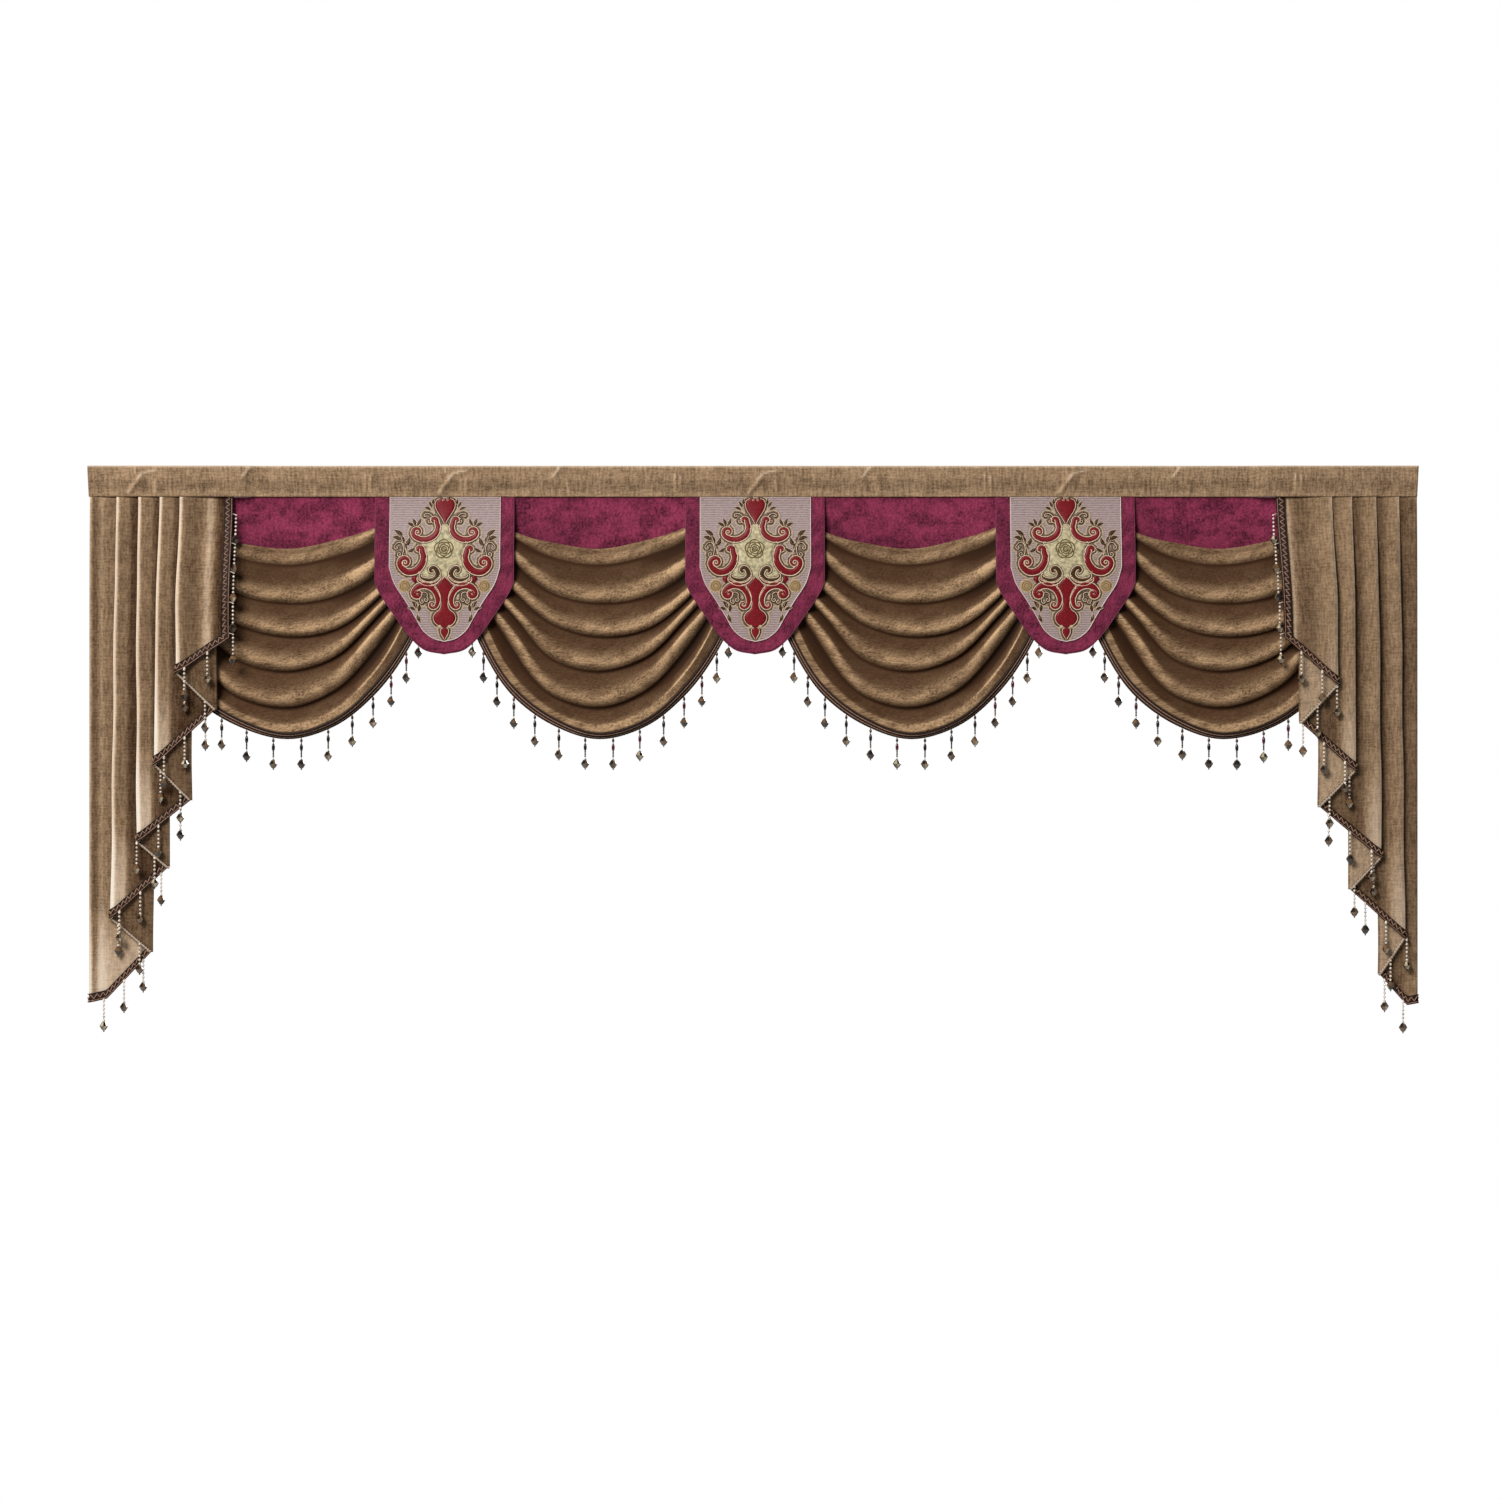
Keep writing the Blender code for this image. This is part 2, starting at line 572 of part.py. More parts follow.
def main():
    remove_everything()
    parts = new_collection("swag_and_tail_valance")
    cutters = new_collection("cutters")
    heading_cloth, tail_cloth, swag_cloth, wine_velvet, brocade, trim = [principled(*finish) for finish in FINISHES]
    make_heading(heading_cloth, parts)
    make_panel(wine_velvet, parts)
    for number in range(1, len(SWAG_MIDDLES) + 1):
        make_swag(number, swag_cloth, trim, parts, cutters)
    for number in (1, 2, 3):
        middle = TAB_MIDDLE + (number - 2) * PITCH
        make_shield(f"tab_back_{number}", middle, TAB_HALF_WIDTH, TAB_OUTLINE, 0.0, wine_velvet, parts)
        make_shield(
            f"tab_front_{number}",
            middle + TAB_FRONT_SHIFT,
            TAB_FRONT_HALF_WIDTH,
            TAB_FRONT_OUTLINE,
            TAB_FRONT_FORWARD,
            brocade,
            parts,
        )
    make_tail("left", TAIL_LEFT, -1.0, tail_cloth, trim, parts, cutters)
    make_tail("right", TAIL_RIGHT, 1.0, tail_cloth, trim, parts, cutters)


main()
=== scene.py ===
"""Swag and tail valance: cloth, embroidery, braid and beaded drops over the solids, and a plain stage.

Lengths are metres unless a name ends in _MM or a comment says mm. +Z is up, the front faces -Y and the origin
is the middle of the heading's top edge on its flat back face.
"""

import json
import math
import random
from collections import namedtuple

import bmesh
import bpy
import numpy as np
from bpy.props import FloatProperty, FloatVectorProperty, IntProperty, PointerProperty
from mathutils import Matrix, Vector

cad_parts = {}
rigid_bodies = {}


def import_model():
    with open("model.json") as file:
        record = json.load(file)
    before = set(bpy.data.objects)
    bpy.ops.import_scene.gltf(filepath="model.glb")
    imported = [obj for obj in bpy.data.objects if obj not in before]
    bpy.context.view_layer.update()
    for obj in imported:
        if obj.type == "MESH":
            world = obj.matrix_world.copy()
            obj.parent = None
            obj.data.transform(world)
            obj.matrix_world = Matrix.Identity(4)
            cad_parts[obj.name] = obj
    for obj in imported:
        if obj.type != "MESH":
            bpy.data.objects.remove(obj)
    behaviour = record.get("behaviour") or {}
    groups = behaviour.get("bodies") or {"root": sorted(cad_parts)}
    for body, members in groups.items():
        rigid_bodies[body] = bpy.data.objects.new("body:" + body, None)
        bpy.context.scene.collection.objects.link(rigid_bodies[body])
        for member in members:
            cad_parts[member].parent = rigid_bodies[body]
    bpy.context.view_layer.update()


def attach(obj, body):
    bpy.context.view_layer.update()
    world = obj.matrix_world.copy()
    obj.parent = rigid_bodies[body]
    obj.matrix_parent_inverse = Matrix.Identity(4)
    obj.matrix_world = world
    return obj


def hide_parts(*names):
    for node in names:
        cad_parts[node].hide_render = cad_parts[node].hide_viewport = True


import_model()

bl_info = {
    "name": "Swag and tail valance",
    "version": (1, 0, 0),
    "blender": (4, 5, 0),
    "location": "View3D > Sidebar > Valance",
    "description": "Builds a draped valance with pleated tails, brocade tabs and beaded braid",
    "category": "Object",
}

MM = 0.001

# Heading.
HEADING_HEIGHT = 0.070
HEADING_HALF_WIDTH_TOP = 1.4950
HEADING_HALF_WIDTH_FOOT = 1.4915
HEADING_DEPTH = 0.0105
HEADING_DEPTH_AT_TAILS = 0.0195
HEADING_RAMP = (1.110, 1.155)
# Painted light and shade on the heading's front: a painted highlight along its rounded top, painted shade in
# a band below the middle, lighter again at the foot: drop, share.
HEADING_PAINTED_LIGHT = (
    (0.0, 0.85), (0.003, 0.66), (0.008, 0.50), (0.026, 0.50), (0.036, 0.36), (0.050, 0.36), (0.060, 0.46),
    (0.070, 0.58),
)
HEADING_COLUMNS = 760
HEADING_FRONT_ROWS = 18

# Cloth and braid.
CLOTH = 0.0012
BRAID = 0.0018
BRAID_WIDTH = 0.020
BRAID_GAP = 0.0009
BRAID_LIFT = CLOTH / 2 + BRAID_GAP + BRAID / 2
YARN_STEP = 0.0034
CLOTH_TOP = 0.0703

# Back panel.
PANEL_HALF_WIDTH = 1.215
PANEL_FOOT = 0.255
PANEL_DEPTH = 0.0012
# At its top the panel rolls forward under the heading, by this much and over this length.
PANEL_ROLL = 0.0050
PANEL_ROLL_LENGTH = 0.016
PANEL_COLUMNS = 160
PANEL_ROWS = 26
# How light the wine velvet is: the level the panel's painted light and shade works from, and on the tabs as a
# share of that.
WINE_TONE = 0.45
TAB_TONE_SHARE = 0.9

# Tabs.
PITCH = 0.697
TAB_MIDDLE = 0.0045
TAB_HALF_WIDTH = 0.1566
TAB_DEPTH_TOP = 0.0076
TAB_DEPTH = 0.0310
TAB_LEAN_FOOT = 0.225
TAB_FRONT_HALF_WIDTH = 0.1238
TAB_FRONT_SHIFT = 0.0010
TAB_FRONT_FORWARD = CLOTH + 0.00045
FACE_COLUMNS = 84
FACE_ROWS = 108
# Half outlines of the border and of its brocade front: distance from the middle, drop.
TAB_OUTLINE = (
    (0.0, 0.4241), (0.045, 0.414), (0.0675, 0.396), (0.0890, 0.370), (0.114, 0.334), (0.1350, 0.303),
    (0.1500, 0.277), (0.1566, 0.258),
)
TAB_FRONT_OUTLINE = (
    (0.0, 0.3956), (0.0248, 0.389), (0.047, 0.372), (0.065, 0.342), (0.0878, 0.304), (0.1136, 0.263),
    (0.1238, 0.2295),
)
PIPING_IN = 0.0012

# Swags: each fold line is given by its drop under the top of the heading at seven stations across the swag.
SWAG_MIDDLES = (-1.041, -0.344, 0.353, 1.050)
SWAG_OUTER_STRETCH = 1.12
SWAG_STATIONS = (-0.270, -0.191, -0.101, 0.0, 0.101, 0.191, 0.270)
SWAG_END_DEPTH = 0.0046
SWAG_END_TUCK = 0.0012
SWAG_FADE_POWER = 1.3
TUCK_FADE_POWER = 0.7
HEM_TURN = (-0.70, 0.00)
# bellies: how far forward it hangs at its left and right. draw: how far the cloth tucks in under it.
# brushed (and painted light): how much of its pile is brushed up, and how much painted highlight and painted
# shade it gets.
Line = namedtuple("Line", "name drops span bellies draw brushed end_depth", defaults=[SWAG_END_DEPTH])
SWAG_LINES = (
    Line("top edge", (0.088, 0.1485, 0.1755, 0.189, 0.170, 0.1395, 0.088), 0.281, (0.012, 0.012),
         0.0, 0.7, 0.0040),
    Line("top roll", (0.095, 0.155, 0.182, 0.196, 0.177, 0.146, 0.095), 0.284, (0.019, 0.019), 0.009, 0.55),
    Line("fold 1", (0.119, 0.196, 0.261, 0.279, 0.261, 0.214, 0.119), 0.295, (0.035, 0.035), 0.018, 0.9),
    Line("fold 2", (0.178, 0.265, 0.331, 0.3555, 0.344, 0.288, 0.178), 0.306, (0.047, 0.047), 0.023, 1.0),
    Line("fold 3", (0.232, 0.322, 0.403, 0.430, 0.407, 0.3285, 0.232), 0.317, (0.056, 0.056), 0.025, 1.0),
    Line("fold 4", (0.2745, 0.3825, 0.4905, 0.511, 0.4725, 0.378, 0.2745), 0.326, (0.063, 0.063), 0.026, 1.0),
    Line("hem roll", (0.3285, 0.479, 0.553, 0.584, 0.5535, 0.470, 0.3285), 0.335, (0.064, 0.064), 0.0, 1.0),
    Line("braid line", (0.365, 0.497, 0.566, 0.6, 0.571, 0.493, 0.375), 0.338, (0.063, 0.066),
         0.0, 1.0, 0.0034),
    Line("hem", (0.400, 0.520, 0.583, 0.612, 0.585, 0.515, 0.405), 0.343, (0.058, 0.052), 0.0, 1.0, 0.0032),
)
# Section of the cloth from one fold line to the next: share of the way down, share of the tuck.
FOLD_SECTION = (
    (0.0, 0.0), (0.12, 0.03), (0.22, 0.15), (0.31, 0.45), (0.375, 0.86), (0.42, 1.0), (0.52, 0.90),
    (0.66, 0.63), (0.80, 0.34), (0.92, 0.09), (1.0, 0.0),
)
# How far the pile is brushed up, with the painted light and shade on it, on the way from one fold line to the
# next: in a swag's middle and at its ends. High values are painted highlights on the ridges, where the pile
# is brushed lighter too, low ones painted shade in the tucks, and below 0 deep painted shade; the right end,
# whose folds face the light, gets the strongest highlights.
FOLD_PILE_AND_PAINTED_LIGHT = {
    "middle": ((0.0, 0.26), (0.08, 0.42), (0.17, 0.56), (0.27, 0.56), (0.34, 0.42), (0.375, 0.06),
               (0.39, -0.05), (0.43, -0.04), (0.50, 0.02), (0.66, 0.04), (0.80, 0.06), (0.90, 0.12),
               (1.0, 0.26)),
    "left": ((0.0, 0.62), (0.08, 0.54), (0.17, 0.28), (0.25, 0.06), (0.34, -0.06), (0.42, -0.18),
             (0.54, -0.04), (0.85, 0.01), (0.92, 0.25), (0.97, 0.56), (1.0, 0.62)),
    "right": ((0.0, 1.30), (0.07, 1.15), (0.13, 0.70), (0.20, 0.42), (0.30, 0.26), (0.38, 0.08),
              (0.46, -0.22), (0.62, -0.12), (0.74, 0.02), (0.86, 0.06), (0.91, 0.45), (0.95, 1.15),
              (1.0, 1.30)),
}
# The same where the cloth doesn't fold, at the top and beside the braid, in the middle and at the left and
# right ends:
# painted shade darkens the hem's right end, which faces away from the light.
HEM_PILE_AND_PAINTED_LIGHT = {
    "top edge": (0.38, 0.38, 0.38),
    "hem roll": (0.46, 0.30, 0.10),
    "braid line": (0.24, 0.14, 0.03),
}
# How much more of it shows along a swag, as painted light that is strongest on the right half, whose folds
# face the
# light: share of its half width, share.
PAINTED_LIGHT_ALONG_SWAG = (
    (-1.0, 1.0), (-0.62, 1.0), (-0.30, 0.66), (-0.05, 0.90), (0.18, 1.15), (0.50, 1.15), (0.75, 1.0),
    (1.0, 1.0),
)
# How much less the cloth tucks in the middle of a swag.
MIDDLE_TUCK = 0.90
# Soft creases across a swag: points as (distance from its middle, drop), how far they stand out, width.
Furrow = namedtuple("Furrow", "points out width")
SWAG_FURROWS = (
    Furrow(((-0.215, 0.150), (-0.140, 0.212), (-0.050, 0.236)), 0.0028, 0.011),
    Furrow(((-0.235, 0.205), (-0.165, 0.272), (-0.085, 0.302)), -0.0026, 0.010),
    Furrow(((0.060, 0.232), (0.150, 0.212), (0.235, 0.158)), 0.0024, 0.010),
    Furrow(((0.085, 0.312), (0.165, 0.278), (0.240, 0.206)), -0.0030, 0.010),
    Furrow(((-0.240, 0.262), (-0.170, 0.352), (-0.090, 0.405)), 0.0030, 0.010),
    Furrow(((0.075, 0.392), (0.160, 0.345), (0.245, 0.255)), 0.0030, 0.010),
    Furrow(((-0.255, 0.310), (-0.180, 0.420), (-0.110, 0.488)), -0.0028, 0.011),
    Furrow(((0.090, 0.468), (0.175, 0.395), (0.255, 0.300)), 0.0030, 0.010),
    Furrow(((-0.040, 0.448), (0.030, 0.462), (0.090, 0.440)), 0.0018, 0.012),
    Furrow(((-0.060, 0.372), (0.010, 0.388), (0.070, 0.374)), 0.0018, 0.012),
)
SWAG_COLUMNS = 105
SWAG_FOLD_ROWS = 20
SWAG_HEM_ROWS = 5

# Tails: the pleats from the inner edge outwards: distance from the middle of the valance at the heading and
# at the hem, and the hem's drop there.
Pleat = namedtuple("Pleat", "name at_heading at_hem drop")
TAIL_LEFT = (
    Pleat("inner edge", 1.1680, 1.1680, 0.389),
    Pleat("front fold 1", 1.2870, 1.2895, 0.468),
    Pleat("back fold 1", 1.1990, 1.1990, 0.549),
    Pleat("front fold 2", 1.3320, 1.3390, 0.673),
    Pleat("back fold 2", 1.2555, 1.2555, 0.7515),
    Pleat("front fold 3", 1.3800, 1.3800, 0.846),
    Pleat("back fold 3", 1.3070, 1.3070, 0.902),
    Pleat("front fold 4", 1.4290, 1.4400, 1.017),
    Pleat("back fold 4", 1.3455, 1.3455, 1.092),
    Pleat("outer edge", 1.4890, 1.4895, 1.206),
)
TAIL_RIGHT = (
    Pleat("inner edge", 1.1745, 1.1860, 0.387),
    Pleat("front fold 1", 1.3005, 1.3080, 0.494),
    Pleat("back fold 1", 1.2206, 1.2206, 0.578),
    Pleat("front fold 2", 1.3455, 1.3480, 0.686),
    Pleat("back fold 2", 1.2640, 1.2640, 0.765),
    Pleat("front fold 3", 1.3995, 1.4080, 0.881),
    Pleat("back fold 3", 1.3340, 1.3340, 0.951),
    Pleat("front fold 4", 1.4510, 1.4620, 1.062),
    Pleat("back fold 4", 1.4020, 1.4020, 1.142),
    Pleat("outer edge", 1.4910, 1.4915, 1.2070),
)
STACK_DEPTH = 0.0095
STACK_STEP = 0.0016
STACK_LEAN = 0.064
LAST_LAYER_DEPTH = 0.021
# How far a layer hangs in front of the next one back, where it is a front layer and where it is a return.
STEP_BEHIND_FRONT = 0.0045
STEP_BEHIND_RETURN = 0.0080
FAN_LENGTH = 0.25
LAST_HEM_PLACE = 0.72
LAST_HEM_BOW = 0.023
# Soft wave of the first layer beside its braid: distance from the inner edge, how far it stands forward.
FIRST_LAYER_WAVE = ((0.0, 0.0), (0.018, 0.0), (0.029, 0.0030), (0.041, 0.0050), (0.056, 0.0030),
                    (0.074, -0.0004), (0.094, 0.0006), (0.122, 0.0))
# How far each front layer swells forward beside its fold: distance in from the fold, share of the swell.
PLEAT_SWELL = 0.0065
PLEAT_ROLL = (
    (0.0, 0.0), (0.002, 0.50), (0.005, 0.92), (0.009, 1.0), (0.015, 0.80), (0.024, 0.42), (0.034, 0.12),
    (0.044, 0.0),
)
# Painted light and shade beside a front fold, on the left tail (-1) and the right (1): a painted highlight on
# the fold, strongest on the left tail whose folds face the light, and painted shade where the layer in front
# shades it: distance in from the fold, share.
PLEAT_PAINTED_LIGHT = {
    -1.0: ((0.0, 0.92), (0.003, 0.84), (0.0055, 0.45), (0.009, 0.31), (0.015, 0.27), (0.022, 0.27),
           (0.028, 0.28), (0.032, 0.22), (0.037, 0.06), (0.060, 0.02)),
    1.0: ((0.0, 0.50), (0.002, 0.46), (0.006, 0.38), (0.020, 0.34), (0.030, 0.28), (0.038, 0.20),
          (0.044, 0.11), (0.060, 0.09)),
}
# The same for the first layer, which lies open as far as the braid, and for the last, from its outer edge.
FIRST_LAYER_PAINTED_LIGHT = {
    -1.0: ((0.0, 0.92), (0.003, 0.84), (0.0055, 0.50), (0.009, 0.30), (0.015, 0.20), (0.040, 0.15),
           (0.052, 0.22), (0.060, 0.37), (0.069, 0.52), (0.076, 0.44), (0.086, 0.14), (0.096, 0.03)),
    1.0: ((0.0, 0.50), (0.003, 0.45), (0.012, 0.37), (0.030, 0.33), (0.045, 0.27), (0.065, 0.19),
          (0.080, 0.18), (0.088, 0.26), (0.093, 0.45), (0.097, 0.50), (0.101, 0.34), (0.108, 0.08)),
}
LAST_LAYER_PAINTED_LIGHT = {
    -1.0: ((0.0, 0.68), (0.003, 0.48), (0.008, 0.16), (0.016, 0.16), (0.021, 0.34), (0.028, 0.43),
           (0.034, 0.35), (0.045, 0.26), (0.060, 0.22)),
    1.0: ((0.0, 0.29), (0.004, 0.22), (0.012, 0.18), (0.022, 0.16), (0.030, 0.14), (0.040, 0.10)),
}
# Near its hem a front layer gets more painted light, by this share, over these drops and this far above the
# hem.
HEM_GLEAM = {-1.0: 1.50, 1.0: 0.60}
HEM_GLEAM_DROPS = (0.30, 0.75)
HEM_GLEAM_ABOVE = (0.26, 0.02)
# How much of the swell and of the first layer's wave shows on each tail.
SWELL_SHARE = {-1.0: 1.0, 1.0: 0.4}
# Painted light on a front fold, a return layer and a back fold: a painted highlight on the left tail's front
# folds, which face the light; the returns show the cloth's darker wrong side, painted darker still on the
# left tail.
FOLD_EDGE_PAINTED_LIGHT = {-1.0: 0.95, 1.0: 0.44}
RETURN_TONE_AND_PAINTED_LIGHT = {-1.0: 0.13, 1.0: 0.45}
BACK_FOLD_PAINTED_LIGHT = 0.24
SWELL_LENGTH = 0.09
TAIL_COLUMN_STEP = 0.006
TAIL_FOLD_STEPS = 6
TAIL_ROWS = 76
TAIL_HEM_ROWS = 4

# Beaded drops.
WALL_CLEARANCE = 0.0095
DROP_SPACING = 0.063
ROOT_INSET = 0.003
ROOT_FORWARD = 0.0009
HANG_FORWARD_FRONT = 0.0030
HANG_FORWARD_RETURN = 0.0054
CRYSTAL_DOWN = 0.061
SWAG_DROPS = 14
HIDDEN_DROPS = 4
LAST_DROP_IN = 0.040
EDGE_DROPS = 5
EDGE_DROP_SPACING = 0.0695
EDGE_DROP_TOP = 0.108
EDGE_DROP_OUT = 0.0075

# Stage. The key stands far off, above and to the left, so its light falls almost evenly along three metres.
# Lights: name, place, aim, size, power in watts.
FILL_STRENGTH = 0.12
LIGHTS = (
    ("key", (-7.0, -10.6, 8.6), (0.0, 0.0, -0.5), 6.5, 2900.0),
    ("back", (6.0, 10.0, 5.0), (0.0, 0.0, -0.6), 5.0, 900.0),
)
SENSOR_MM = 36.0
CAMERA_DISTANCE = 9.0
VIEW_WIDTH = 3.375
VIEW_MIDDLE = (-0.00675, -0.639)
FLOOR_LEVEL = -2.80
FLOOR_HALF = (3.2, 2.2)


# ---------------------------------------------------------------------- settings


def linear(hex_colour):
    """An sRGB hex colour as linear red, green, blue and alpha."""
    values = []
    for i in (1, 3, 5):
        share = int(hex_colour[i : i + 2], 16) / 255.0
        values.append(share / 12.92 if share <= 0.04045 else ((share + 0.055) / 1.055) ** 2.4)
    return (*values, 1.0)


def colour_property(name, description, hex_colour):
    default = linear(hex_colour)
    return FloatVectorProperty(
        name=name, description=description, subtype="COLOR", size=4, min=0.0, max=1.0, default=default
    )


class ValanceSizes(bpy.types.PropertyGroup):
    cloth: FloatProperty(name="Cloth", description="Thickness of the cloth", default=CLOTH, unit="LENGTH")
    pleat_swell: FloatProperty(
        name="Pleat swell", description="How far a pleat swells forward", default=PLEAT_SWELL, unit="LENGTH"
    )
    crystal_sides: IntProperty(name="Crystal sides", description="Facets round a cut crystal", default=8)


class ValanceColours(bpy.types.PropertyGroup):
    heading_light: colour_property("Heading, raised", "Raised threads of the heading", "#C7A581")
    heading_dark: colour_property("Heading, sunk", "Sunk threads of the heading", "#3E2A17")
    tail_light: colour_property("Tails, raised", "Raised threads of the tails", "#D8B48C")
    tail_dark: colour_property("Tails, sunk", "Sunk threads of the tails", "#3C2410")
    velvet_light: colour_property("Swag velvet, brushed", "Brushed pile of the swags", "#D2AC82")
    velvet_dark: colour_property("Swag velvet, crushed", "Crushed pile of the swags", "#3D230F")
    wine_light: colour_property("Wine velvet, brushed", "Brushed pile of the panel and tabs", "#9C3959")
    wine_dark: colour_property("Wine velvet, crushed", "Crushed pile of the panel and tabs", "#3A0A1E")
    ground: colour_property("Brocade ground", "Ribbed ground of the brocade", "#B4A09C")
    cream: colour_property("Brocade cream", "Centre of the brocade motif", "#D6C89E")
    red: colour_property("Brocade red", "Scrolls of the brocade motif", "#86161F")
    gold: colour_property("Brocade cord", "Cord that outlines the motif", "#EED2B2")
    braid: colour_property("Braid", "Woven braid", "#33211A")


def settings():
    return bpy.context.scene.valance_sizes, bpy.context.scene.valance_colours


def cloth():
    return settings()[0].cloth


# ---------------------------------------------------------------------- shapes


def smoothstep(value, low, high):
    share = np.clip((np.asarray(value, dtype=float) - low) / (high - low), 0.0, 1.0)
    return share * share * (3.0 - 2.0 * share)


def lengths_along(points):
    return np.concatenate([[0.0], np.cumsum(np.linalg.norm(np.diff(points, axis=0), axis=1))])


def eased(first, first_slope, last, last_slope, t):
    """The point at t of the way from first to last on a smooth curve with the given slopes at its ends."""
    return (
        first * (2 * t**3 - 3 * t**2 + 1)
        + first_slope * (t**3 - 2 * t**2 + t)
        + last * (3 * t**2 - 2 * t**3)
        + last_slope * (t**3 - t**2)
    )


def curve_through(points, count, steps=24):
    """Evenly spaced points on a smooth curve through the given points."""
    points = np.array(points, dtype=float)
    chord = lengths_along(points)
    slopes = np.gradient(points, chord, axis=0)
    fine = []
    for i, length in enumerate(np.diff(chord)):
        for t in np.linspace(0.0, 1.0, steps, endpoint=False):
            fine.append(eased(points[i], slopes[i] * length, points[i + 1], slopes[i + 1] * length, t))
    fine = np.array([*fine, points[-1]])
    along = lengths_along(fine)
    places = np.linspace(0.0, along[-1], count)
    return np.stack([np.interp(places, along, fine[:, axis]) for axis in range(fine.shape[1])], axis=1)


def looked_up(table, at):
    """The second column of a table where its first column reaches the given values."""
    return np.interp(at, *np.array(table).T)


def mirrored(line):
    return np.array(line, dtype=float) * (-1.0, 1.0)


def smooth_value(points, at):
    """The height at the given places of a smooth curve through (place, height) points."""
    curve = curve_through(points, 8 * len(points))
    return np.interp(at, curve[:, 0], curve[:, 1])


def unit(vectors):
    return vectors / np.maximum(np.linalg.norm(vectors, axis=-1, keepdims=True), 1e-9)


def face_normals(grid):
    """Unit normals of a grid of points, forward where a row runs from left to right."""
    return unit(np.cross(np.gradient(grid, axis=0), np.gradient(grid, axis=1)))


def add_piece(name, mesh, materials):
    """Adds a finished piece to the scene. It rides on the one body and takes its finish from a slot."""
    thing = bpy.data.objects.new(name, mesh)
    bpy.context.scene.collection.objects.link(thing)
    for material in materials:
        mesh.materials.append(material)
    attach(thing, "root")
    return thing


def mesh_from(bm, name):
    mesh = bpy.data.meshes.new(name)
    bm.to_mesh(mesh)
    bm.free()
    return mesh


def shade_smooth(mesh):
    mesh.polygons.foreach_set("use_smooth", [True] * len(mesh.polygons))


def grid_mesh(bm, grid, material_index=0, worn=None, straight=False):
    """Adds a grid of points to a bmesh as a sheet with a UV map in metres along and down the cloth.

    The attribute values hold one for each point, kept as the attribute that the finishes read: painted light
    and shade on the cloth, and the distance from the motif on the brocade. On a straight sheet the threads
    run down its columns.
    """
    rows, columns = grid.shape[:2]
    uv = bm.loops.layers.uv.verify()
    painted_light_or_distance_layer = bm.verts.layers.float.get("worn") or bm.verts.layers.float.new("worn")
    along = np.array([lengths_along(grid[0] if straight else row) for row in grid])
    down = np.array([lengths_along(grid[:, i]) for i in range(columns)]).T
    made = bmesh.ops.create_grid(bm, x_segments=columns - 1, y_segments=rows - 1, size=1.0)["verts"]
    faces = set()
    for vert in made:
        column = round((vert.co.x + 1.0) / 2 * (columns - 1))
        row = round((vert.co.y + 1.0) / 2 * (rows - 1))
        vert.co = grid[row, column]
        if worn is not None:
            vert[painted_light_or_distance_layer] = worn[row, column]
        for loop in vert.link_loops:
            loop[uv].uv = (along[row, column], down[row, column])
            faces.add(loop.face)
    for face in faces:
        face.material_index = material_index
    return faces


def cloth_sheet(name, grid, thickness, material, worn=None, straight=False):
    """A sheet of cloth through a grid of points, with its thickness on both sides of the grid."""
    bm = bmesh.new()
    faces = grid_mesh(bm, np.array(grid), worn=worn, straight=straight)
    bmesh.ops.reverse_faces(bm, faces=list(faces))
    mesh = mesh_from(bm, name)
    shade_smooth(mesh)
    thing = add_piece(name, mesh, [material])
    thicken(thing, thickness, 0.0)
    return thing


def thicken(thing, thickness, offset):
    """Closes a sheet with its thickness: on both sides of it at an offset of 0, or behind it at -1."""
    solidify = thing.modifiers.new("thickness", "SOLIDIFY")
    solidify.thickness = thickness
    solidify.offset = offset


def cord_object(name, splines, materials):
    """Round cords as one mesh. A spline is (points, radius or radii, material index)."""
    curve = bpy.data.curves.new(name, "CURVE")
    curve.dimensions = "3D"
    curve.bevel_depth = 1.0
    curve.bevel_resolution = 0
    curve.use_fill_caps = True
    for material in materials:
        curve.materials.append(material)
    for points, radii, index in splines:
        spline = curve.splines.new("POLY")
        spline.points.add(len(points) - 1)
        spline.points.foreach_set("co", np.column_stack([points, np.ones(len(points))]).ravel())
        spline.points.foreach_set("radius", np.broadcast_to(radii, len(points)).astype(float))
        spline.material_index = index
    holder = bpy.data.objects.new(name, curve)
    bpy.context.scene.collection.objects.link(holder)
    mesh = bpy.data.meshes.new_from_object(holder.evaluated_get(bpy.context.evaluated_depsgraph_get()))
    bpy.data.objects.remove(holder, do_unlink=True)
    bpy.data.curves.remove(curve)
    mesh.name = name
    shade_smooth(mesh)
    return add_piece(name, mesh, [])


# ---------------------------------------------------------------------- materials


